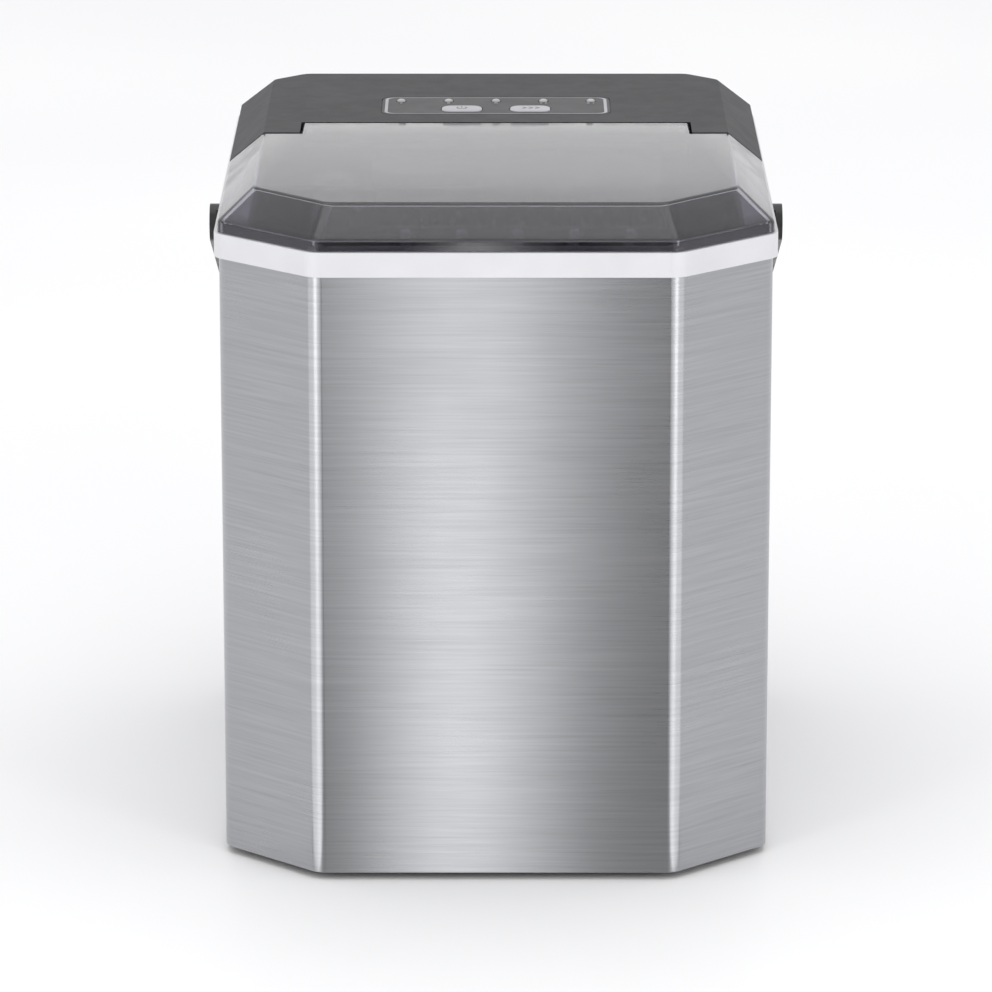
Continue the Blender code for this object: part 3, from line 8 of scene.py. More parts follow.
import bmesh
import bpy
from bpy.props import FloatProperty, FloatVectorProperty, IntProperty, PointerProperty
from mathutils import Matrix, Vector
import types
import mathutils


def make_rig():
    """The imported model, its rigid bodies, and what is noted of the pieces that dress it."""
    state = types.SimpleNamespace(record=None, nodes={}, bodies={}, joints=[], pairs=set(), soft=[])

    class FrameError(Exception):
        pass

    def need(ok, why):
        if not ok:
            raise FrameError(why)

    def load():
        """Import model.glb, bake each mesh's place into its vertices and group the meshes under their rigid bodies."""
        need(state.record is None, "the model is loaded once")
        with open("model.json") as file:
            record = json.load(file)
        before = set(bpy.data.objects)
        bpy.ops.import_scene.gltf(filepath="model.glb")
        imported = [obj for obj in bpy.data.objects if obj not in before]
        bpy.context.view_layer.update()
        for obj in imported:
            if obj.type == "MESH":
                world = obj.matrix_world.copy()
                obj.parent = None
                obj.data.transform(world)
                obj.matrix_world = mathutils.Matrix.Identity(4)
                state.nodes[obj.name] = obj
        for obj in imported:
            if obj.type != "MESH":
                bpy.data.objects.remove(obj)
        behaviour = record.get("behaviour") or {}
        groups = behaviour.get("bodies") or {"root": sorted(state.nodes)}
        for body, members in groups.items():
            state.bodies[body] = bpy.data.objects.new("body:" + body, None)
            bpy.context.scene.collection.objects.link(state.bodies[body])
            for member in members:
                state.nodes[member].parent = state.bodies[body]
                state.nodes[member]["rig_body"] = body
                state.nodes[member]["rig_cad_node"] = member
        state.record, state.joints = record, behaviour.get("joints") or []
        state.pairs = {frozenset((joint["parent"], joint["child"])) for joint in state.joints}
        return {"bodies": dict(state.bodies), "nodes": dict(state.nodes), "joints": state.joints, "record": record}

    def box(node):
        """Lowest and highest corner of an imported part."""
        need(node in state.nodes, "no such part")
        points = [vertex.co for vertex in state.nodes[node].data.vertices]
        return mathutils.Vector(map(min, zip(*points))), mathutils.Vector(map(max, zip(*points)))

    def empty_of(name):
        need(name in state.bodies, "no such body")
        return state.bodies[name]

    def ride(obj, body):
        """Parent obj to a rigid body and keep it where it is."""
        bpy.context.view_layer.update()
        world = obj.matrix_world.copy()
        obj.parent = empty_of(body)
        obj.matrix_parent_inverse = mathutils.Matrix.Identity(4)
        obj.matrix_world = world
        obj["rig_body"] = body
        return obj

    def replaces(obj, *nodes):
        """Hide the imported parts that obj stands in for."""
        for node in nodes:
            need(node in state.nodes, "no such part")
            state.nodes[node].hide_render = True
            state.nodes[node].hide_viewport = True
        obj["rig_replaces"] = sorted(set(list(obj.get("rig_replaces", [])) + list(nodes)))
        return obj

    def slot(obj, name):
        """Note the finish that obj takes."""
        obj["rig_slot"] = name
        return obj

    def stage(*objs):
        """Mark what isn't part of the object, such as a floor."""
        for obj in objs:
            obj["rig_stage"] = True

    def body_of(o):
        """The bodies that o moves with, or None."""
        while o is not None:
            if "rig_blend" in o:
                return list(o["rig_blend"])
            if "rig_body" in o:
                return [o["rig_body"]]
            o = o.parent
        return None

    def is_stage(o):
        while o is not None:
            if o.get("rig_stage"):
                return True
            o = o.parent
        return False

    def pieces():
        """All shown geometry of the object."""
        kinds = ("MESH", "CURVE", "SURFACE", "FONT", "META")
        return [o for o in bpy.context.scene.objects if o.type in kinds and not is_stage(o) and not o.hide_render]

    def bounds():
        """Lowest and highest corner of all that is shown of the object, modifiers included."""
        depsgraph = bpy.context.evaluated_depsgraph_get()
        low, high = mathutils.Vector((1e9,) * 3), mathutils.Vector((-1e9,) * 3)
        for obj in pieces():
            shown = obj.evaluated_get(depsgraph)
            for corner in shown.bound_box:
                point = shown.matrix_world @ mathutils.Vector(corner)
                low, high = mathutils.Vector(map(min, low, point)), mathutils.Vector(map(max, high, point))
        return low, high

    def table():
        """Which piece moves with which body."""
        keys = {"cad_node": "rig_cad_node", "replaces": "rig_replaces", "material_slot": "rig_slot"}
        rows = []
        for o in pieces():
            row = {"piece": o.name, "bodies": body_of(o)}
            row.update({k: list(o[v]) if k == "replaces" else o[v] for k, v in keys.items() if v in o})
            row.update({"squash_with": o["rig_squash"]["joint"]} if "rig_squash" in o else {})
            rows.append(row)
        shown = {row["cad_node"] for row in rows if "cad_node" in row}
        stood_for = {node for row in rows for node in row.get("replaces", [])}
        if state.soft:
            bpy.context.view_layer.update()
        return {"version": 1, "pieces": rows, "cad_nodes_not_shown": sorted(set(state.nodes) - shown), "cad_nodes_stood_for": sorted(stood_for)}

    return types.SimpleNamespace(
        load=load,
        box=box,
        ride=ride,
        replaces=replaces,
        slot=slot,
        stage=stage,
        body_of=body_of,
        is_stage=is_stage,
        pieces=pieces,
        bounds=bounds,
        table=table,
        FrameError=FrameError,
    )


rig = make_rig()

bl_info = {
    "name": "Countertop ice maker",
    "version": (1, 0, 0),
    "blender": (4, 5, 0),
    "location": "3D View > Sidebar > Ice maker",
    "description": "Builds the finished pieces, materials and stage of an ice maker",
    "category": "Object",
}

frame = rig.load()
CAD_LOW, CAD_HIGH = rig.bounds()
BODY_OF = {node: body for body, nodes in frame["record"]["behaviour"]["bodies"].items()
           for node in nodes}
SLOT_OF = {row["node"]: row["material_slot"] for row in frame["record"]["subparts"]}
MM = 0.001
TOUCH = 0.02 * MM    # how far a print sinks into what it lies on
SAME = 0.001 * MM    # heights closer than this are one height
# right half of the raised field around the panel: X, and distance behind the lid's seam
COVER_PLATEAU = ((0.076, 0.0), (0.074, 0.066), (0.050, 0.093))
PLATEAU_GAP, PLATEAU_RISE, PLATEAU_CORNER, PLATEAU_EDGE = 1.6 * MM, 0.35 * MM, 4.0 * MM, 0.3 * MM
# one sign per lamp: the widths of its ice cubes, in millimetres
CUBE_SIGNS = ((0.9,), (1.3,), (1.8,), (0.8, 0.8), (1.2, 0.6))
CUBE_PITCH, CUBE_DEPTH, CUBE_CORNER = 2.2 * MM, 1.2 * MM, 0.25 * MM
# the power sign: half width, start and end of its bar; where its ring starts and how far it runs
BAR_HALF, BAR_START, BAR_END = 0.24 * MM, 0.6 * MM, 3.0 * MM
RING_START, RING_SWEEP, RING_STEPS = math.radians(35), math.radians(290), 28
# the graded card before the machine: the pattern's half width beside the machine, the forward
# distances over which it widens to double and over which its contrast grows
PATTERN_HALF, PATTERN_DOUBLES, PATTERN_GROWS = 0.12, 2.5, 1.0
PATTERN_STOPS = ((0.0, 0.12), (0.10, 0.03), (0.24, 0.02), (0.37, 0.98), (0.45, 1.0),
                 (0.53, 0.78), (0.66, 0.08), (0.80, 0.02), (0.94, 0.06), (1.0, 0.15))
NEAR_GAIN, FAR_GAIN, NEAR_HAZE, FAR_HAZE = 1.38, 3.1, 0.28, 0.0
CARD_START, CARD_REACH, CARD_UPRIGHT = 0.003, 1.6, 0.5
CARD_NEAR_HALF, CARD_FAR_HALF, CARD_LIFT = 0.14, 0.30, 0.0004
# the plain cards either side: angles off straight ahead, and the length of each edge
SIDE_CARD_EDGES = ((math.radians(22), 1.6), (math.radians(76), 1.9))
SIDE_CARD_SHIFT, SIDE_CARD_LIFT = 0.004, 0.0012
# each soft light: name, place, what it faces, width and height, and watts
SOFTBOXES = (
    ("light_above", (0.0, 0.3, 2.2), (0.0, 0.0, 0.15), (1.8, 1.8), 8.0),
    ("light_left", (-0.9, -1.2, 0.5), (0.0, -0.1, 0.12), (0.30, 0.9), 3.0),
    ("light_right", (0.9, -1.2, 0.5), (0.0, -0.1, 0.12), (0.30, 0.9), 3.0),
)


# ---- colours and nodes ------------------------------------------------------------------------
def linear(hex_colour):
    """An sRGB hex colour as linear RGBA."""
    parts = [int(hex_colour[at:at + 2], 16) / 255 for at in (1, 3, 5)]
    return (*[p / 12.92 if p <= 0.04045 else ((p + 0.055) / 1.055) ** 2.4 for p in parts], 1.0)


def shades(low, high):
    """Two sRGB hex colours as linear RGBA."""
    return linear(low), linear(high)


def around(base, share):
    """A darker and a lighter shade, the share below and above a linear colour."""
    return [(*[min(1.0, part * (1 + side * share)) for part in base[:3]], 1.0)
            for side in (-1, 1)]


def node(tree, kind, settings=None, links=None):
    """Add one node, with attribute and socket values by name and its incoming links by socket."""
    made = tree.nodes.new("ShaderNode" + kind)
    for key, value in (settings or {}).items():
        if isinstance(key, int) or key in made.inputs:
            made.inputs[key].default_value = value
        else:
            setattr(made, key, value)
    for key, source in (links or {}).items():
        tree.links.new(source, made.inputs[key])
    return made


def blank(name, **values):
    """A material with only its shader, whose even values are set on the sockets."""
    made = bpy.data.materials.new(name)
    made.use_nodes = True
    shader = made.node_tree.nodes["Principled BSDF"]
    for key, value in values.items():
        shader.inputs[key.replace("_", " ")].default_value = value
    return made, made.node_tree, shader


def between(tree, source, low, high, start=0.35, end=0.65):
    """Spread a pattern from low to high; colours for RGBA values, a number otherwise."""
    if isinstance(low, tuple):
        ramp = node(tree, "ValToRGB", links={"Fac": source})
        ramp.color_ramp.elements[0].position, ramp.color_ramp.elements[1].position = start, end
        ramp.color_ramp.elements[0].color, ramp.color_ramp.elements[1].color = low, high
        return ramp.outputs["Color"]
    return node(tree, "MapRange", {"From Min": start, "From Max": end, "To Min": low,
                                   "To Max": high}, {"Value": source}).outputs["Result"]


def grain(tree, size, detail=3.0, stretch=(1, 1, 1)):
    """Noise on object coordinates whose cells measure size, in metres, times the stretch."""
    place = node(tree, "TexCoord").outputs["Object"]
    sized = node(tree, "Mapping", {"Scale": tuple(1 / (size * s) for s in stretch)},
                 {"Vector": place})
    return node(tree, "TexNoise", {"Scale": 1.0, "Detail": detail, "Roughness": 0.6},
                {"Vector": sized.outputs["Vector"]}).outputs["Fac"]


def relief(tree, shader, height, depth):
    """Let a height pattern of the given depth, in metres, bend the shading."""
    bump = node(tree, "Bump", {"Strength": 1.0, "Distance": depth}, {"Height": height})
    tree.links.new(bump.outputs["Normal"], shader.inputs["Normal"])


# ---- materials --------------------------------------------------------------------------------
def brushed_stainless(base):
    """Stainless sheet, belt-brushed level: reflections draw out upright, fine level lines show."""
    made, tree, shader = blank("brushed_stainless_sheet", Metallic=1.0, Anisotropic=0.9,
                               Anisotropic_Rotation=0.25)
    # belt marks are 0.02 mm wide; they are drawn 0.25 mm wide so that they show
    fine = grain(tree, 0.25 * MM, 2.0, (110, 110, 1))
    coarse = grain(tree, 1.1 * MM, 3.0, (50, 50, 1))
    both = node(tree, "Math", {"operation": "MULTIPLY_ADD", 1: 0.6}, {0: fine, 2: coarse})
    marks = node(tree, "Math", {"operation": "MULTIPLY", 1: 0.625}, {0: both.outputs[0]})
    tree.links.new(between(tree, marks.outputs[0], *around(base, 0.091)),
                   shader.inputs["Base Color"])
    handled = grain(tree, 55 * MM, 2.0)
    rough = between(tree, handled, 0.25, 0.28)
    streaky = node(tree, "Math", {"operation": "MULTIPLY_ADD", 1: 0.05}, {0: fine, 2: rough})
    tree.links.new(streaky.outputs[0], shader.inputs["Roughness"])
    facing = node(tree, "NewGeometry").outputs["True Normal"]
    level = node(tree, "VectorMath", {"operation": "CROSS_PRODUCT", 0: (0, 0, 1)}, {1: facing})
    tree.links.new(level.outputs["Vector"], shader.inputs["Tangent"])
    relief(tree, shader, marks.outputs[0], 0.006 * MM)
    return made


def moulded(name, tones, rough, cell, depth, **values):
    """Injection-moulded plastic: an eroded-die grain, slight shade changes and rubbed places."""
    made, tree, shader = blank(name, **values)
    cloudy = grain(tree, 38 * MM, 2.0)
    tree.links.new(between(tree, cloudy, *tones), shader.inputs["Base Color"])
    rubbed = grain(tree, 9 * MM, 4.0)
    tree.links.new(between(tree, rubbed, *rough), shader.inputs["Roughness"])
    relief(tree, shader, grain(tree, cell, 2.0), depth)
    return made


def plated(name, tones, rough, cell, depth, **values):
    """Bare or plated metal: cloudy tone, handling marks in the gloss and a slight surface wave."""
    made, tree, shader = blank(name, Metallic=1.0, **values)
    tree.links.new(between(tree, grain(tree, 6 * MM, 4.0), *tones), shader.inputs["Base Color"])
    tree.links.new(between(tree, grain(tree, 2.5 * MM, 3.0), *rough), shader.inputs["Roughness"])
    relief(tree, shader, grain(tree, cell, 2.0), depth)
    return made


def smoked_styrene(base):
    """Clear smoked styrene-acrylonitrile lid: violet-grey in depth, glossy, faint flow marks, with painted shade on
    its upright edge.
    """
    made, tree, shader = blank("smoked_clear_styrene", IOR=1.57, Transmission_Weight=1.0)
    tint = between(tree, grain(tree, 45 * MM, 2.0), *around(base, 0.038))
    # painted shade: the upright edge is painted deeper in tone, a darkening of the tint that stands in for light
    # running a long way along the edge
    place = node(tree, "TexCoord").outputs["Object"]
    rise = node(tree, "SeparateXYZ", links={"Vector": place})
    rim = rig.box("lid")[0].z + 5.0 * MM
    # share of the tint that is kept: less on the upright edge, as painted shade
    depth = between(tree, rise.outputs["Z"], 0.42, 1.0, rim, rim + 1.2 * MM)
    rim_shaded_tint = node(tree, "VectorMath", {"operation": "SCALE"}, {0: tint, "Scale": depth})
    tree.links.new(rim_shaded_tint.outputs["Vector"], shader.inputs["Base Color"])
    tree.links.new(between(tree, grain(tree, 14 * MM, 4.0), 0.05, 0.11), shader.inputs["Roughness"])
    relief(tree, shader, grain(tree, 26 * MM, 1.0), 0.05 * MM)
    return made


def clear_polystyrene():
    """Clear polystyrene basket: near colourless, glossy, a little scuffed by ice."""
    made, tree, shader = blank("clear_polystyrene", IOR=1.5, Transmission_Weight=0.8)
    tree.links.new(between(tree, grain(tree, 30 * MM), *shades("#c2cdd4", "#ccd6dc")),
                   shader.inputs["Base Color"])
    tree.links.new(between(tree, grain(tree, 4 * MM, 5.0), 0.08, 0.24), shader.inputs["Roughness"])
    relief(tree, shader, grain(tree, 0.8 * MM), 0.01 * MM)
    return made


def solder_mask_board():
    """Glass-epoxy circuit board under green solder mask: copper runs show as paler bands."""
    made, tree, shader = blank("green_circuit_board", Roughness=0.38, IOR=1.5)
    place = node(tree, "TexCoord").outputs["Object"]
    runs = node(tree, "TexBrick", {"Scale": 1.0, "Brick Width": 7 * MM, "Row Height": 1.6 * MM,
                                   "Mortar Size": 0.35 * MM, "Color1": linear("#17522f"),
                                   "Color2": linear("#1c5c36"), "Mortar": linear("#2f7a4b")},
                {"Vector": place})
    tree.links.new(runs.outputs["Color"], shader.inputs["Base Color"])
    relief(tree, shader, runs.outputs["Fac"], 0.03 * MM)
    return made


def finned_aluminium():
    """Aluminium fin pack: upright fins a little over a millimetre apart, drawn as pale ribs with painted shade in the
    gaps between them.
    """
    made, tree, shader = blank("aluminium_fins", Metallic=1.0, Roughness=0.4)
    place = node(tree, "TexCoord").outputs["Object"]
    ribs = node(tree, "TexWave", {"wave_type": "BANDS", "bands_direction": "X", "Scale": 240.0,
                                  "Distortion": 0.0, "Detail": 0.0}, {"Vector": place})
    # the dark end of the ramp is painted shade in the gaps between the fins; the pale end is the fins' own aluminium
    tree.links.new(between(tree, ribs.outputs["Fac"], *shades("#4d4f52", "#c4c6c8"), 0.1, 0.7),
                   shader.inputs["Base Color"])
    relief(tree, shader, ribs.outputs["Fac"], 0.4 * MM)
    return made


def backdrop_vinyl():
    """Matt white studio vinyl with a slight sheen."""
    made, tree, shader = blank("white_backdrop_vinyl", IOR=1.33)
    tree.links.new(between(tree, grain(tree, 600 * MM, 1.0), *shades("#f4f4f5", "#f8f8f8")),
                   shader.inputs["Base Color"])
    tree.links.new(between(tree, grain(tree, 80 * MM, 2.0), 0.46, 0.52),
                   shader.inputs["Roughness"])
    relief(tree, shader, grain(tree, 1.5 * MM, 2.0), 0.005 * MM)
    return made


def graded_reflector():
    """Light table under a graded mask: pale in the middle, dim either side, for the steel only."""
    made = bpy.data.materials.new("graded_reflector")
    made.use_nodes = True
    tree = made.node_tree
    place = node(tree, "TexCoord").outputs["Object"]
    apart = node(tree, "SeparateXYZ", links={"Vector": place})
    # the mask fans out with its distance from the machine, as the reflected view does
    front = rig.box("steel_wrap")[0].y
    fan = node(tree, "MapRange", {"From Min": front, "From Max": front - PATTERN_DOUBLES,
                                  "To Min": 1.0, "To Max": 2.0, "clamp": False},
               {"Value": apart.outputs["Y"]})
    across = node(tree, "Math", {"operation": "DIVIDE"},
                  {0: apart.outputs["X"], 1: fan.outputs["Result"]})
    spread = node(tree, "MapRange", {"From Min": -PATTERN_HALF, "From Max": PATTERN_HALF},
                  {"Value": across.outputs[0]})
    ramp = node(tree, "ValToRGB", links={"Fac": spread.outputs["Result"]})
    ramp.color_ramp.interpolation = "B_SPLINE"
    for index, (at, level) in enumerate(PATTERN_STOPS):
        stop = (ramp.color_ramp.elements[index] if index < 2
                else ramp.color_ramp.elements.new(at))
        stop.position, stop.color = at, (level, level, level, 1.0)
    away = node(tree, "MapRange", {"From Min": front, "From Max": front - PATTERN_GROWS},
                {"Value": apart.outputs["Y"]})
    gain = node(tree, "MapRange", {"To Min": NEAR_GAIN, "To Max": FAR_GAIN},
                {"Value": away.outputs["Result"]})
    haze = node(tree, "MapRange", {"To Min": NEAR_HAZE, "To Max": FAR_HAZE},
                {"Value": away.outputs["Result"]})
    level = node(tree, "Math", {"operation": "MULTIPLY_ADD"},
                 {0: ramp.outputs["Color"], 1: gain.outputs["Result"], 2: haze.outputs["Result"]})
    one_sided(tree, level.outputs[0])
    return made


def one_sided(tree, level):
    """Let a card glow from its face only, and be clear from behind."""
    glow = node(tree, "Emission", links={"Strength": level})
    clear = node(tree, "BsdfTransparent")
    behind = node(tree, "NewGeometry").outputs["Backfacing"]
    either = node(tree, "MixShader", links={0: behind, 1: glow.outputs[0], 2: clear.outputs[0]})
    tree.links.new(either.outputs[0], tree.nodes["Material Output"].inputs["Surface"])


def even_reflector():
    """Light table either side of the graded one, a little uneven, which lights the folds."""
    made = bpy.data.materials.new("even_reflector")
    made.use_nodes = True
    tree = made.node_tree
    level = between(tree, grain(tree, 300 * MM, 1.0), 1.55, 1.70)
    one_sided(tree, level)
    return made


def make_materials(finish):
    """Every finish by the name of its slot in the record, and the stage's own."""
    return {
        "brushed_steel": brushed_stainless(finish.steel),
        # acrylonitrile-butadiene-styrene in gloss white: bright, with a soft skin
        "white_plastic": moulded("white_abs_moulding", around(finish.band, 0.035),
                                 (0.28, 0.40), 0.5 * MM, 0.006 * MM, IOR=1.53),
        # grey polypropylene chamber: smooth, a little waxy
        "grey_plastic": moulded("grey_polypropylene", around(finish.chamber, 0.069),
                                (0.30, 0.40), 0.5 * MM, 0.006 * MM, IOR=1.49),
        "smoke_lid": smoked_styrene(finish.smoke),
        # the white band's plastic in charcoal from an eroded die: even satin, no mirror
        "dark_plastic": moulded("charcoal_abs_moulding", around(finish.cover, 0.108),
                                (0.50, 0.54), 0.45 * MM, 0.012 * MM, IOR=1.36),
        # black polypropylene: deep tone, soft gloss
        "black_plastic": moulded("black_polypropylene", around(finish.handle, 0.25),
                                 (0.26, 0.40), 0.6 * MM, 0.010 * MM, IOR=1.49),
        # screen-printed polyester film: smooth, close to the cover in shade
        "panel_film": moulded("charcoal_polyester_film", shades("#28282b", "#2c2c2f"),
                              (0.40, 0.44), 0.3 * MM, 0.004 * MM, IOR=1.38),
        # pale grey soft-touch key caps
        "key_grey": moulded("pale_grey_key_caps", around(finish.keys, 0.069),
                            (0.42, 0.52), 0.4 * MM, 0.006 * MM, IOR=1.49),
        # milky acrylic lamp lenses
        "lamp_lens": moulded("milky_acrylic_lens", shades("#a6a6a6", "#b2b2b1"),
                             (0.18, 0.28), 0.8 * MM, 0.004 * MM, IOR=1.49),
        "board_green": solder_mask_board(),
        # moulded nitrile rubber: dull, with a fine dust bloom
        "rubber": moulded("black_nitrile_rubber", shades("#18181a", "#262628"),
                          (0.72, 0.92), 0.5 * MM, 0.03 * MM, IOR=1.52),
        # nickel plate over brass: warm and bright
        "nickel": plated("nickel_plated_brass", shades("#bab6ae", "#cac6be"),
                         (0.20, 0.28), 1.5 * MM, 0.003 * MM),
        # drawn copper line: dulled in patches
        "copper": plated("drawn_copper_line", shades("#9c6044", "#c4825f"),
                         (0.26, 0.40), 1.2 * MM, 0.005 * MM),
        "aluminium": finned_aluminium(),
        # stove enamel over pressed steel: slow orange-peel wave
        "black_enamel": moulded("black_stove_enamel", shades("#121214", "#1b1b1e"),
                                (0.24, 0.38), 2.2 * MM, 0.05 * MM, IOR=1.5),
        # zinc-plated mild steel: grey-blue and patchy
        "zinc_steel": plated("zinc_plated_steel", shades("#94989b", "#b2b5b6"),
                             (0.28, 0.42), 1.0 * MM, 0.005 * MM),
        # extruded silicone tube: milky and soft
        "silicone": moulded("milky_silicone_tube", shades("#c8cccc", "#d9dcdb"),
                            (0.42, 0.58), 1.2 * MM, 0.02 * MM, IOR=1.41,
                            Transmission_Weight=0.25),
        "clear_plastic": clear_polystyrene(),
        # opaque screen ink on the film
        "panel_ink": moulded("pale_grey_screen_ink", shades("#a2a2a6", "#b0b0b4"),
                             (0.46, 0.56), 0.25 * MM, 0.004 * MM, IOR=1.49),
        # dark screen ink on the key caps
        "key_ink": moulded("charcoal_screen_ink", shades("#4b4b50", "#55555a"),
                           (0.46, 0.56), 0.25 * MM, 0.004 * MM, IOR=1.49),
        "backdrop": backdrop_vinyl(),
        "reflector": graded_reflector(),
        "side_reflector": even_reflector(),
    }


FINISHES = {}


# ---- making pieces ----------------------------------------------------------------------------
def keep(name, mesh, slot, body, stands_for=(), sharp=38.0, flat=True):
    """Turn a bmesh into a piece that rides on a body and stands for some CAD nodes."""
    bmesh.ops.recalc_face_normals(mesh, faces=mesh.faces)
    data = bpy.data.meshes.new(name)
    mesh.to_mesh(data)
    mesh.free()
    if not data.polygons:
        raise RuntimeError(f"{name} came out empty")
    data.materials.append(FINISHES[slot])
    data.shade_smooth()
    data.set_sharp_from_angle(angle=math.radians(sharp))
    made = bpy.data.objects.new(name, data)
    bpy.context.scene.collection.objects.link(made)
    if flat:
        # flats shade flat right up to their eased edges
        made.modifiers.new("flat_shading", "WEIGHTED_NORMAL").keep_sharp = True
    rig.ride(made, body)
    if slot in SLOT_OF.values():
        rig.slot(made, slot)
    if stands_for:
        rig.replaces(made, *stands_for)


def flat_outline(corners, z):
    """A bmesh that holds one flat face through a few corners."""
    mesh = bmesh.new()
    mesh.faces.new([mesh.verts.new((x, y, z)) for x, y in corners])
    return mesh


def extruded(mesh, faces, rise):
    """Extrude faces along a vector and return the moved ones."""
    made = bmesh.ops.extrude_face_region(mesh, geom=list(faces))["geom"]
    bmesh.ops.translate(mesh, vec=rise,
                        verts=[g for g in made if isinstance(g, bmesh.types.BMVert)])
    return [g for g in made if isinstance(g, bmesh.types.BMFace)]


def eased(mesh, edges, radius, segments=3):
    """Round a set of edges."""
    bmesh.ops.bevel(mesh, geom=list(edges), offset=radius, offset_type="OFFSET",
                    affect="EDGES", segments=segments, profile=0.5, material=-1,
                    clamp_overlap=True)


def rounded_corners(mesh, radius, segments=6):
    """Round every corner of a flat face."""
    bmesh.ops.bevel(mesh, geom=list(mesh.verts), offset=radius, offset_type="OFFSET",
                    affect="VERTICES", segments=segments, profile=0.5, material=-1,
                    clamp_overlap=True)


def hard_edges(mesh, angle=30.0):
    """Edges whose faces meet at more than an angle in degrees."""
    return [e for e in mesh.edges if e.is_manifold and e.calc_face_angle(0.0) > math.radians(angle)]


def plate(corners, z0, z1, corner_radius, edge_radius, segments=6):
    """A flat slab with rounded corners and an eased upper edge."""
    mesh = flat_outline(corners, z0)
    if corner_radius:
        rounded_corners(mesh, corner_radius, segments)
    top = extruded(mesh, mesh.faces[:], (0, 0, z1 - z0))
    if edge_radius:
        eased(mesh, {edge for face in top for edge in face.edges}, edge_radius, 3)
    return mesh


def box_corners(x0, x1, y0, y1):
    """Four corners of a rectangle in plan, counter-clockwise."""
    return [(x0, y0), (x1, y0), (x1, y1), (x0, y1)]


def joined(*meshes):
    """Several bmeshes as one."""
    whole = bmesh.new()
    for mesh in meshes:
        data = bpy.data.meshes.new("part")
        mesh.to_mesh(data)
        mesh.free()
        whole.from_mesh(data)
        bpy.data.meshes.remove(data)
    return whole


def grown(corners, distance):
    """An outline moved outwards by a distance, keeping its corners."""
    moved = []
    for before, here, after in zip(corners[-1:] + corners[:-1], corners, corners[1:] + corners[:1]):
        first = (Vector(here) - Vector(before)).normalized()
        second = (Vector(after) - Vector(here)).normalized()
        outward = Vector((first.y + second.y, -first.x - second.x)) / (1 + first.dot(second))
        moved.append(tuple(Vector(here) + outward * distance))
    return moved


def body_outline(grow=0.0):
    """Eight corners of the steel body in plan, counter-clockwise from the front left fold."""
    low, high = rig.box("steel_wrap")
    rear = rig.box("rear_panel")[1].y
    cut = bpy.context.scene.icemaker_body
    half, front = high.x, low.y
    corners = [
        (-half + cut.front_cut_x, front), (half - cut.front_cut_x, front),
        (half, front + cut.front_cut_y), (half, rear - cut.rear_cut),
        (half - cut.rear_cut, rear), (-half + cut.rear_cut, rear),
        (-half, rear - cut.rear_cut), (-half, front + cut.front_cut_y),
    ]
    return grown(corners, grow)


def machined_copy(name, ease, segments=2):
    """A merged copy of a CAD node with its flats joined up and its edges eased."""
    mesh = bmesh.new()
    mesh.from_mesh(frame["nodes"][name].data)
    bmesh.ops.remove_doubles(mesh, verts=mesh.verts, dist=0.002 * MM)
    bmesh.ops.dissolve_limit(mesh, angle_limit=math.radians(0.5), verts=mesh.verts,
                             edges=mesh.edges, use_dissolve_boundaries=False)
    eased(mesh, hard_edges(mesh), ease, segments)
    keep(name + "_finish", mesh, SLOT_OF[name], BODY_OF[name], [name])


# ---- settings ---------------------------------------------------------------------------------
def length(name, description, default, low=0.0, high=1.0):
    return FloatProperty(name=name, description=description, default=default, min=low, max=high,
                         unit="LENGTH", precision=5)


def colour(name, description, hex_colour):
    return FloatVectorProperty(name=name, description=description, size=4, subtype="COLOR",
                               default=linear(hex_colour), min=0.0, max=1.0)


class FinishSettings(bpy.types.PropertyGroup):
    """Main colours; each finish varies a little around its own."""

    steel: colour("Steel", "Brushed stainless steel", "#a9aaad")
    band: colour("Band", "White band, handle seats and pump wheel", "#d4d4d7")
    chamber: colour("Chamber", "Chamber, water tray and ice guide", "#58585e")
    smoke: colour("Smoke", "Tint of the clear lid", "#acaab6")
    cover: colour("Cover", "Rear cover and rear panel", "#29292c")
    handle: colour("Handle", "Handle, base pan and fan", "#171719")
    keys: colour("Keys", "Key caps", "#afafb3")


class BodySettings(bpy.types.PropertyGroup):
    """Sizes of the steel body and the white band."""

    front_cut_x: length("Front cut X", "Slanted front corner along X", 0.0395)
    front_cut_y: length("Front cut Y", "Slanted front corner along Y", 0.036)
    rear_cut: length("Rear cut", "Slanted rear corner", 0.014)
    fold_radius: length("Fold radius", "Bend of the steel sheet", 0.009)
    sheet: length("Sheet", "Thickness of the steel sheet", 0.0008)
    hem: length("Hem", "Eased lower edge of the steel", 0.000304)
    fold_segments: IntProperty(name="Fold segments", description="Faces across one fold",
                               default=14, min=3, max=40)
    band_proud: length("Band proud", "White band beyond the steel", 0.002)
    band_edge: length("Band edge", "Rounding of the white band", 0.0013)
    band_wall: length("Band wall", "White band from its face to the chamber", 0.014)
    band_corner: length("Band corner", "Rounding of the white band's corners in plan", 0.0042)
    deck_front: length("Deck front", "Deck in front of the chamber's rear face", 0.0025)
    deck_rear: length("Deck rear", "Deck behind the chamber's rear face", 0.008)
    deck_side: length("Deck side", "Deck beyond the chamber's side walls", 0.003)
    deck_drop: length("Deck drop", "Deck under the top of the band", 0.0045)


class LidSettings(bpy.types.PropertyGroup):
    """Sizes of the smoked lid."""

    side_run: length("Side run", "Slanted side face, width", 0.0145)
    front_run: length("Front run", "Slanted front face, depth", 0.0162)
    roof_cut: length("Roof cut", "Slanted corner of the flat top", 0.031)
    rim: length("Rim", "Upright edge", 0.0045)
    wall: length("Wall", "Wall thickness", 0.0024)
    edge: length("Edge", "Rounding of the edges", 0.0011)
    corner: length("Corner", "Rounding of the upright front corners", 0.0026)
    shoulder_gap: length("Shoulder gap", "Clearance in front of the rear cover", 0.0014)


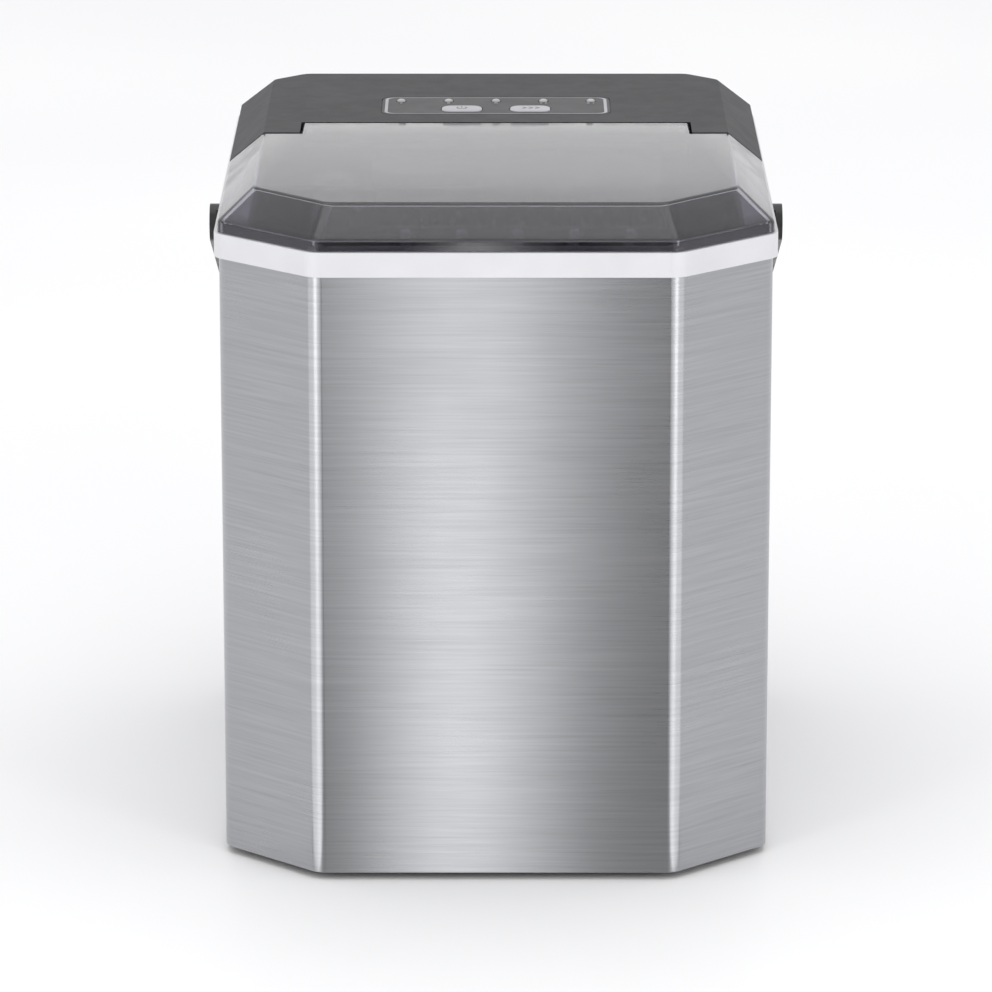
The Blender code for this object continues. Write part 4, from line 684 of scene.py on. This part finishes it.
class PanelSettings(bpy.types.PropertyGroup):
    """Sizes of the printed panel and its keys."""

    line: length("Line", "Thin printed line", 0.0005)
    bar: length("Bar", "Thick printed stroke at the ends", 0.0013)
    margin: length("Margin", "Film beyond the printed frame", 0.0012)
    print_depth: length("Print depth", "Height of the ink", 0.00006)
    frame_corner: length("Frame corner", "Rounding of the printed frame", 0.0042)
    sign_drop: length("Sign place", "Cube signs in front of the lamps", 0.0042)
    ring: length("Ring", "Radius of the ring sign", 0.0021)
    ring_line: length("Ring line", "Line of the ring sign", 0.00045)
    arrow_pitch: length("Arrow pitch", "Distance between the arrowheads", 0.0028)
    arrow_line: length("Arrow line", "Line of an arrowhead", 0.0006)
    arrow_reach: length("Arrow reach", "Length and half height of an arrowhead", 0.0016)
    lamp_count: IntProperty(name="Lamps", description="Number of lamps", default=5, min=1, max=9)
    lamp_pitch: length("Lamp pitch", "Distance between lamps", 0.0207)
    lamp_back: length("Lamp place", "Lamp row behind the panel centre", 0.0098)


class ChamberSettings(bpy.types.PropertyGroup):
    """Sizes of the ribs on the front of the water tray."""

    rib_count: IntProperty(name="Ribs", description="Number of ribs", default=5, min=2, max=12)
    rib_inset: length("Rib inset", "Outer rib from the side of the cold plate", 0.013)
    rib_width: length("Rib width", "Width of a rib", 0.0044)
    rib_proud: length("Rib proud", "Rib beyond the tray", 0.0011)
    tray_lean: length("Tray lean", "How far the front of the tray draws in downwards", 0.004)


class StageSettings(bpy.types.PropertyGroup):
    """Camera, floor and light."""

    lens: FloatProperty(name="Lens", description="Focal length", default=210.5, min=10,
                        unit="CAMERA")
    distance: length("Distance", "Camera to the middle of the machine", 2.5, high=10)
    height: length("Aim height", "Middle of the machine above the floor", 0.141, high=10)
    elevation: FloatProperty(name="Elevation", description="Camera above the horizon",
                             default=math.radians(14.8), subtype="ANGLE")
    droop: FloatProperty(name="Droop", description="Aim below the middle of the machine",
                         default=math.radians(0.369), subtype="ANGLE")
    aim_back: length("Aim back", "Aim behind the middle of the steel body", 0.00107)
    floor: length("Floor", "Half width of the floor", 9.0, high=50)
    sky: FloatProperty(name="Sky", description="Strength of the even room light", default=1.0,
                       min=0.0)


SETTINGS = {"icemaker_finish": FinishSettings, "icemaker_body": BodySettings,
            "icemaker_lid": LidSettings, "icemaker_panel": PanelSettings,
            "icemaker_chamber": ChamberSettings, "icemaker_stage": StageSettings}


# ---- operators --------------------------------------------------------------------------------
class ICEMAKER_OT_finishes(bpy.types.Operator):
    """Make every material from the colours in the settings"""

    bl_idname = "icemaker.finishes"
    bl_label = "Finishes"

    def execute(self, context):
        FINISHES.update(make_materials(context.scene.icemaker_finish))
        return {"FINISHED"}


class ICEMAKER_OT_steel_wrap(bpy.types.Operator):
    """Fold one brushed steel sheet around the front and the sides"""

    bl_idname = "icemaker.steel_wrap"
    bl_label = "Steel wrap"

    def execute(self, context):
        body = context.scene.icemaker_body
        low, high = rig.box("steel_wrap")
        corners = body_outline()
        path = [corners[at] for at in (6, 7, 0, 1, 2, 3)]
        path[0], path[-1] = (path[0][0], high.y), (path[-1][0], high.y)
        mesh = bmesh.new()
        posts = [mesh.verts.new((x, y, low.z)) for x, y in path]
        bottom = [mesh.edges.new(pair) for pair in zip(posts, posts[1:])]
        made = bmesh.ops.extrude_edge_only(mesh, edges=bottom)["geom"]
        bmesh.ops.translate(mesh, vec=(0, 0, high.z - low.z),
                            verts=[g for g in made if isinstance(g, bmesh.types.BMVert)])
        bmesh.ops.recalc_face_normals(mesh, faces=mesh.faces)
        if sum(f.normal.dot(f.calc_center_median() * Vector((1, 1, 0))) for f in mesh.faces) < 0:
            bmesh.ops.reverse_faces(mesh, faces=mesh.faces)
        for fold in [e for e in mesh.edges if e.is_manifold]:
            run = body.fold_radius * math.tan(fold.calc_face_angle() / 2)
            eased(mesh, [fold], run, body.fold_segments)
        bmesh.ops.solidify(mesh, geom=mesh.faces[:], thickness=body.sheet)
        hem = [e for e in mesh.edges
               if all(abs(v.co.z - low.z) < SAME for v in e.verts) and e.calc_face_angle(0) > 1]
        eased(mesh, hem, body.hem, 3)
        keep("steel_wrap_finish", mesh, "brushed_steel", "cabinet", ["steel_wrap"], 50.0)
        return {"FINISHED"}


class ICEMAKER_OT_top_frame(bpy.types.Operator):
    """Mould the white band that frames the chamber and the machine room"""

    bl_idname = "icemaker.top_frame"
    bl_label = "White band"

    def execute(self, context):
        body = context.scene.icemaker_body
        low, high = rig.box("top_frame")
        mesh = flat_outline(body_outline(body.band_proud), low.z)
        rounded_corners(mesh, body.band_corner, 8)
        inner = mesh.faces[:]
        bmesh.ops.inset_region(mesh, faces=inner, thickness=body.band_wall, use_boundary=True,
                               use_even_offset=True)
        bmesh.ops.delete(mesh, geom=inner, context="FACES")
        extruded(mesh, mesh.faces[:], (0, 0, high.z - low.z))
        eased(mesh, hard_edges(mesh, 60), body.band_edge, 4)
        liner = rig.box("inner_liner")
        half, rear = liner[1].x + body.deck_side, liner[1].y
        deck = plate(box_corners(-half, half, rear - body.deck_front, rear + body.deck_rear),
                     low.z + 0.4 * MM, high.z - body.deck_drop, 0, 0.6 * MM)
        keep("top_frame_finish", joined(mesh, deck), "white_plastic", "cabinet", ["top_frame"])
        return {"FINISHED"}


class ICEMAKER_OT_lid(bpy.types.Operator):
    """Mould the smoked lid: upright rim, slanted faces, flat top and rear tongue"""

    bl_idname = "icemaker.lid"
    bl_label = "Smoked lid"

    def execute(self, context):
        lid = context.scene.icemaker_lid
        low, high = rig.box("lid")
        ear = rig.box("rear_cover")[0].y - lid.shoulder_gap
        tongue = sum(corner.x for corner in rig.box("lid_pin_right")) / 2
        rim = body_outline(high.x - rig.box("steel_wrap")[1].x)
        half, front = rim[2][0] - lid.side_run, rim[0][1] + lid.front_run
        roof = [(-half + lid.roof_cut, front), (half - lid.roof_cut, front),
                (half, front + lid.roof_cut), (-half, front + lid.roof_cut)]
        back = [(tongue, ear), (tongue, high.y), (-tongue, high.y), (-tongue, ear)]
        lower = [rim[0], rim[1], rim[2], (rim[2][0], ear), *back, (rim[7][0], ear), rim[7]]
        upper = [roof[0], roof[1], roof[2], (half, ear), *back, (-half, ear), roof[3]]
        mesh = flat_outline(lower, low.z)
        belt = extruded(mesh, mesh.faces[:], (0, 0, lid.rim))
        extruded(mesh, belt, (0, 0, high.z - low.z - lid.rim))
        bmesh.ops.delete(mesh, geom=[f for f in mesh.faces if f.normal.z < -0.9
                                     or all(abs(v.co.z - low.z) < SAME for v in f.verts)],
                         context="FACES_ONLY")
        for vert in {v for f in mesh.faces for v in f.verts if abs(v.co.z - high.z) < SAME}:
            at = min(range(len(lower)), key=lambda i: (Vector(lower[i]) - vert.co.xy).length)
            vert.co.xy = upper[at]
        bmesh.ops.recalc_face_normals(mesh, faces=mesh.faces)
        front_corners = [e for e in mesh.edges if e.is_manifold
                         and abs(e.verts[0].co.z - e.verts[1].co.z) > 0.002
                         and max(v.co.y for v in e.verts) < ear - 0.01]
        eased(mesh, front_corners, lid.corner, 5)
        eased(mesh, hard_edges(mesh, 22), lid.edge, 4)
        bmesh.ops.recalc_face_normals(mesh, faces=mesh.faces)
        bmesh.ops.solidify(mesh, geom=mesh.faces[:], thickness=lid.wall)
        keep("lid_finish", mesh, "smoke_lid", "lid", ["lid"], 40.0, flat=False)
        return {"FINISHED"}


class ICEMAKER_OT_rear_cover(bpy.types.Operator):
    """Finish the charcoal cover over the machine room"""

    bl_idname = "icemaker.rear_cover"
    bl_label = "Rear cover"

    def execute(self, context):
        machined_copy("rear_cover", 0.5 * MM, 3)
        seam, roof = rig.box("lid")[1].y + PLATEAU_GAP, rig.box("control_overlay")[0].z
        outline = [(x, seam + back) for x, back in COVER_PLATEAU]
        outline += [(-x, y) for x, y in reversed(outline)]
        field = plate(outline, roof - 0.1 * MM, roof + PLATEAU_RISE, PLATEAU_CORNER, PLATEAU_EDGE)
        keep("cover_plateau", field, "dark_plastic", "cabinet")
        for name in ("lid_pin_left", "lid_pin_right"):
            machined_copy(name, 0.3 * MM)
        return {"FINISHED"}


class ICEMAKER_OT_control_panel(bpy.types.Operator):
    """Lay the printed film with its frame, signs, lamps and two keys"""

    bl_idname = "icemaker.control_panel"
    bl_label = "Control panel"

    def execute(self, context):
        panel = context.scene.icemaker_panel
        machined_copy("control_overlay", 0.12 * MM, 2)
        low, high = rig.box("control_overlay")
        top = high.z
        self.printed_frame(panel, low, high)
        middle = (low + high) / 2
        signs = []
        y = middle.y + panel.lamp_back - panel.sign_drop
        for index, widths in enumerate(CUBE_SIGNS[:panel.lamp_count]):
            x = (index - (panel.lamp_count - 1) / 2) * panel.lamp_pitch
            for place, width in enumerate(widths):
                left = x + (place - (len(widths) - 1) / 2) * CUBE_PITCH - width * MM / 2
                cube = box_corners(left, left + width * MM, y - CUBE_DEPTH / 2, y + CUBE_DEPTH / 2)
                signs.append(plate(cube, top, top + panel.print_depth, CUBE_CORNER, 0, 3))
        keep("lamp_signs", joined(*signs), "panel_ink", "cabinet")
        for name in ("button_power", "button_select"):
            machined_copy(name, 0.2 * MM, 3)
        self.key_signs(panel)
        for name in ("light_guide", "control_board"):
            machined_copy(name, 0.15 * MM)
        return {"FINISHED"}

    def printed_frame(self, panel, low, high):
        """Rounded line around the panel, thick at both ends."""
        inset = panel.margin
        outer = box_corners(low.x + inset, high.x - inset, low.y + inset, high.y - inset)
        mesh = flat_outline(outer, high.z)
        rounded_corners(mesh, panel.frame_corner, 8)
        face = mesh.faces[:]
        bmesh.ops.inset_region(mesh, faces=face, thickness=panel.line, use_boundary=True,
                               use_even_offset=True)
        for vert in face[0].verts:
            side = 1 if vert.co.x > 0 else -1
            vert.co.x -= side * (panel.bar - panel.line)
        bmesh.ops.delete(mesh, geom=face, context="FACES")
        extruded(mesh, mesh.faces[:], (0, 0, panel.print_depth))
        keep("panel_frame_print", mesh, "panel_ink", "cabinet")

    def key_signs(self, panel):
        """A ring-and-bar sign on one key and a chevron sign on the other."""
        low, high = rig.box("button_power")
        centre = (low + high) / 2
        ring = self.ring_sign(centre.x, centre.y, high.z, panel)
        bar = plate(box_corners(centre.x - BAR_HALF, centre.x + BAR_HALF, centre.y + BAR_START,
                                centre.y + BAR_END), high.z - TOUCH,
                    high.z + panel.print_depth, 0, 0)
        keep("power_sign", joined(ring, bar), "key_ink", "button_power")
        low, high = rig.box("button_select")
        centre = (low + high) / 2
        arrows = []
        for step in (-1, 0, 1):
            arrows.append(self.chevron(centre.x + step * panel.arrow_pitch, centre.y, high.z,
                                       panel))
        keep("select_sign", joined(*arrows), "key_ink", "button_select")

    @staticmethod
    def ring_sign(x, y, z, panel):
        """A ring with a gap at the top."""
        mesh = bmesh.new()
        start = mesh.verts.new((x, y + panel.ring - panel.ring_line / 2, z - TOUCH))
        end = mesh.verts.new((x, y + panel.ring + panel.ring_line / 2, z - TOUCH))
        edge = mesh.edges.new((start, end))
        turn = Matrix.Rotation(RING_START, 3, "Z")
        bmesh.ops.rotate(mesh, cent=(x, y, z), matrix=turn, verts=[start, end])
        bmesh.ops.spin(mesh, geom=[start, end, edge], cent=(x, y, z), axis=(0, 0, 1),
                       angle=RING_SWEEP, steps=RING_STEPS, use_merge=False)
        extruded(mesh, mesh.faces[:], (0, 0, panel.print_depth + TOUCH))
        return mesh

    @staticmethod
    def chevron(x, y, z, panel):
        """One arrowhead that points right."""
        line, reach = panel.arrow_line, panel.arrow_reach
        corners = [(x - reach / 2, y - reach), (x - reach / 2 + line, y - reach),
                   (x + reach / 2 + line, y), (x - reach / 2 + line, y + reach),
                   (x - reach / 2, y + reach), (x + reach / 2, y)]
        mesh = flat_outline(corners, z - TOUCH)
        extruded(mesh, mesh.faces[:], (0, 0, panel.print_depth + TOUCH))
        return mesh


class ICEMAKER_OT_handle(bpy.types.Operator):
    """Finish the black bail handle and the seats that it turns on"""

    bl_idname = "icemaker.handle"
    bl_label = "Carrying handle"

    def execute(self, context):
        machined_copy("handle", 0.5 * MM, 3)
        for side in ("left", "right"):
            machined_copy("handle_seat_" + side, 0.3 * MM)
            machined_copy("handle_pivot_" + side, 0.3 * MM)
        return {"FINISHED"}


class ICEMAKER_OT_chamber(bpy.types.Operator):
    """Finish the grey chamber, the basket, the tray and the cold fingers"""

    bl_idname = "icemaker.chamber"
    bl_label = "Ice chamber"

    def execute(self, context):
        for name in ("inner_liner", "ice_basket", "ice_guide", "evaporator", "water_tray",
                     "tray_motor", "pump_housing", "pump_impeller", "ice_sensor_left",
                     "ice_sensor_right"):
            machined_copy(name, 0.25 * MM)
        self.tray_ribs(context.scene.icemaker_chamber)
        return {"FINISHED"}

    @staticmethod
    def tray_ribs(chamber):
        """Upright ribs moulded on the front of the tray, one before each cold finger."""
        low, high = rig.box("water_tray")
        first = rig.box("evaporator")[0].x + chamber.rib_inset
        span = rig.box("evaporator")[1].x - chamber.rib_inset - first
        half = chamber.rib_width / 2
        ribs = []
        for index in range(chamber.rib_count):
            x = first + span * index / (chamber.rib_count - 1)
            rib = plate(box_corners(x - half, x + half, low.z + 2.0 * MM, high.z - 0.8 * MM),
                        0.0, chamber.rib_proud, 0.6 * MM, 0.5 * MM, 3)
            bmesh.ops.rotate(rib, cent=(0, 0, 0), matrix=Matrix.Rotation(math.pi / 2, 3, "X"),
                             verts=rib.verts)
            for vert in rib.verts:
                down = (high.z - vert.co.z) / (high.z - low.z)
                vert.co.y += low.y + chamber.tray_lean * down + 0.1 * MM
            ribs.append(rib)
        keep("tray_ribs", joined(*ribs), "white_plastic", "water_tray")


class ICEMAKER_OT_rear_side(bpy.types.Operator):
    """Finish the rear panel with its louvres, screws and lead inlet"""

    bl_idname = "icemaker.rear_side"
    bl_label = "Rear side"

    def execute(self, context):
        machined_copy("rear_panel", 0.3 * MM, 2)
        machined_copy("inlet_gland", 0.3 * MM)
        for name in frame["nodes"]:
            if name.startswith("rear_screw"):
                machined_copy(name, 0.12 * MM)
        return {"FINISHED"}


class ICEMAKER_OT_underside(bpy.types.Operator):
    """Finish the base pan, the feet and the drain plug"""

    bl_idname = "icemaker.underside"
    bl_label = "Underside"

    def execute(self, context):
        machined_copy("base_pan", 0.3 * MM)
        for name in frame["nodes"]:
            if name.startswith("foot_") or name.startswith("drain"):
                machined_copy(name, 0.25 * MM)
        return {"FINISHED"}


class ICEMAKER_OT_machine_room(bpy.types.Operator):
    """Finish the compressor, condenser, fan and pipework"""

    bl_idname = "icemaker.machine_room"
    bl_label = "Machine room"

    def execute(self, context):
        stood_for = {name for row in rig.table()["pieces"] for name in row.get("replaces", [])}
        for name, cad in frame["nodes"].items():
            if name in stood_for:
                continue
            cad.data.materials.clear()
            cad.data.materials.append(FINISHES[SLOT_OF[name]])
            if SLOT_OF[name] in ("black_enamel", "zinc_steel", "black_plastic"):
                machined_copy(name, 0.3 * MM)
        return {"FINISHED"}


class ICEMAKER_OT_stage(bpy.types.Operator):
    """Set up the pale floor, the reflector cards, the soft light and the camera"""

    bl_idname = "icemaker.stage"
    bl_label = "Stage"

    def execute(self, context):
        scene, stage = context.scene, context.scene.icemaker_stage
        mesh = bmesh.new()
        bmesh.ops.create_grid(mesh, x_segments=2, y_segments=2, size=stage.floor)
        data = bpy.data.meshes.new("floor")
        mesh.to_mesh(data)
        mesh.free()
        data.materials.append(FINISHES["backdrop"])
        floor = bpy.data.objects.new("floor", data)
        scene.collection.objects.link(floor)
        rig.stage(floor)
        self.reflector(scene)

        world = bpy.data.worlds.new("soft_room")
        world.use_nodes = True
        world.node_tree.nodes["Background"].inputs["Color"].default_value = linear("#fbfbfc")
        world.node_tree.nodes["Background"].inputs["Strength"].default_value = stage.sky
        scene.world = world
        scene.view_settings.view_transform = "Standard"

        for row in SOFTBOXES:
            self.softbox(scene, *row)

        data = bpy.data.cameras.new("camera")
        data.sensor_width = 36.0
        data.lens = stage.lens
        data.clip_end = 50.0
        camera = bpy.data.objects.new("camera", data)
        scene.collection.objects.link(camera)
        centre = (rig.box("steel_wrap")[0].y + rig.box("rear_panel")[1].y) / 2
        middle = Vector((0, centre + stage.aim_back, stage.height))
        camera.location = middle + stage.distance * Vector((0, -math.cos(stage.elevation),
                                                            math.sin(stage.elevation)))
        camera.rotation_euler = (math.pi / 2 - stage.elevation - stage.droop, 0, 0)
        scene.camera = camera
        return {"FINISHED"}

    @staticmethod
    def reflector(scene):
        """Cards flat in front of the machine and one upright, which only shiny surfaces see."""
        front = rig.box("steel_wrap")[0].y
        near, far = front - CARD_START, front - CARD_REACH
        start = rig.box("steel_wrap")[1].x - scene.icemaker_body.front_cut_x + SIDE_CARD_SHIFT
        middle = [(-CARD_FAR_HALF, far), (CARD_FAR_HALF, far), (CARD_NEAR_HALF, near),
                  (-CARD_NEAR_HALF, near)]
        outlines = [("reflector", middle, CARD_LIFT)]
        for name, side in (("left_reflector", -1), ("right_reflector", 1)):
            fan = [(side * start, near)]
            fan += [(side * (start + reach * math.sin(turn)), near - reach * math.cos(turn))
                    for turn, reach in SIDE_CARD_EDGES]
            outlines.append((name, fan, SIDE_CARD_LIFT))
        for name, corners, z in outlines:
            mesh = flat_outline(corners, z)
            bmesh.ops.recalc_face_normals(mesh, faces=mesh.faces)
            for face in mesh.faces:
                face.normal_update()
            bmesh.ops.reverse_faces(mesh, faces=[f for f in mesh.faces if f.normal.z < 0])
            if name == "reflector":
                far_edge = [e for e in mesh.edges if all(v.co.y < far + 0.01 for v in e.verts)]
                made = bmesh.ops.extrude_edge_only(mesh, edges=far_edge)["geom"]
                bmesh.ops.translate(mesh, vec=(0, 0, CARD_UPRIGHT),
                                    verts=[g for g in made if isinstance(g, bmesh.types.BMVert)])
                upright = [f for f in mesh.faces if all(v.co.y < far + 0.01 for v in f.verts)]
                for face in upright:
                    face.normal_update()
                bmesh.ops.reverse_faces(mesh, faces=[f for f in upright if f.normal.y < 0])
            data = bpy.data.meshes.new(name)
            mesh.to_mesh(data)
            mesh.free()
            data.materials.append(FINISHES["reflector" if name == "reflector"
                                           else "side_reflector"])
            card = bpy.data.objects.new(name, data)
            card.visible_camera = card.visible_diffuse = card.visible_shadow = False
            card.visible_transmission = card.visible_volume_scatter = False
            scene.collection.objects.link(card)
            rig.stage(card)

    @staticmethod
    def softbox(scene, name, place, aim, size, watts):
        data = bpy.data.lights.new(name, "AREA")
        data.shape = "RECTANGLE"
        data.size, data.size_y = size
        data.energy = watts
        light = bpy.data.objects.new(name, data)
        light.location = place
        light.rotation_euler = (Vector(aim) - Vector(place)).to_track_quat("-Z", "Y").to_euler()
        scene.collection.objects.link(light)


OPERATORS = (
    ICEMAKER_OT_finishes, ICEMAKER_OT_stage, ICEMAKER_OT_steel_wrap, ICEMAKER_OT_top_frame,
    ICEMAKER_OT_lid, ICEMAKER_OT_rear_cover, ICEMAKER_OT_control_panel, ICEMAKER_OT_handle,
    ICEMAKER_OT_chamber, ICEMAKER_OT_rear_side, ICEMAKER_OT_underside, ICEMAKER_OT_machine_room,
)


class ICEMAKER_PT_panel(bpy.types.Panel):
    """Buttons for each group of pieces"""

    bl_idname = "ICEMAKER_PT_panel"
    bl_label = "Ice maker"
    bl_space_type = "VIEW_3D"
    bl_region_type = "UI"
    bl_category = "Ice maker"

    def draw(self, context):
        for operator in OPERATORS:
            self.layout.operator(operator.bl_idname)
        for name in SETTINGS:
            box = self.layout.box()
            group = getattr(context.scene, name)
            for prop in group.bl_rna.properties:
                if prop.identifier not in ("rna_type", "name"):
                    box.prop(group, prop.identifier)


def register():
    for settings in SETTINGS.values():
        bpy.utils.register_class(settings)
    for name, settings in SETTINGS.items():
        setattr(bpy.types.Scene, name, PointerProperty(type=settings))
    for operator in OPERATORS:
        bpy.utils.register_class(operator)
    bpy.utils.register_class(ICEMAKER_PT_panel)


def unregister():
    bpy.utils.unregister_class(ICEMAKER_PT_panel)
    for operator in reversed(OPERATORS):
        bpy.utils.unregister_class(operator)
    for name, settings in SETTINGS.items():
        delattr(bpy.types.Scene, name)
        bpy.utils.unregister_class(settings)


def main():
    register()
    for operator in OPERATORS:
        getattr(bpy.ops.icemaker, operator.bl_idname.split(".")[1])()
    low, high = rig.bounds()
    with open("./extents.json", "w") as out:
        json.dump({"cad": [list(CAD_LOW), list(CAD_HIGH)], "visual": [list(low), list(high)]}, out)


if __name__ == "__main__":
    main()
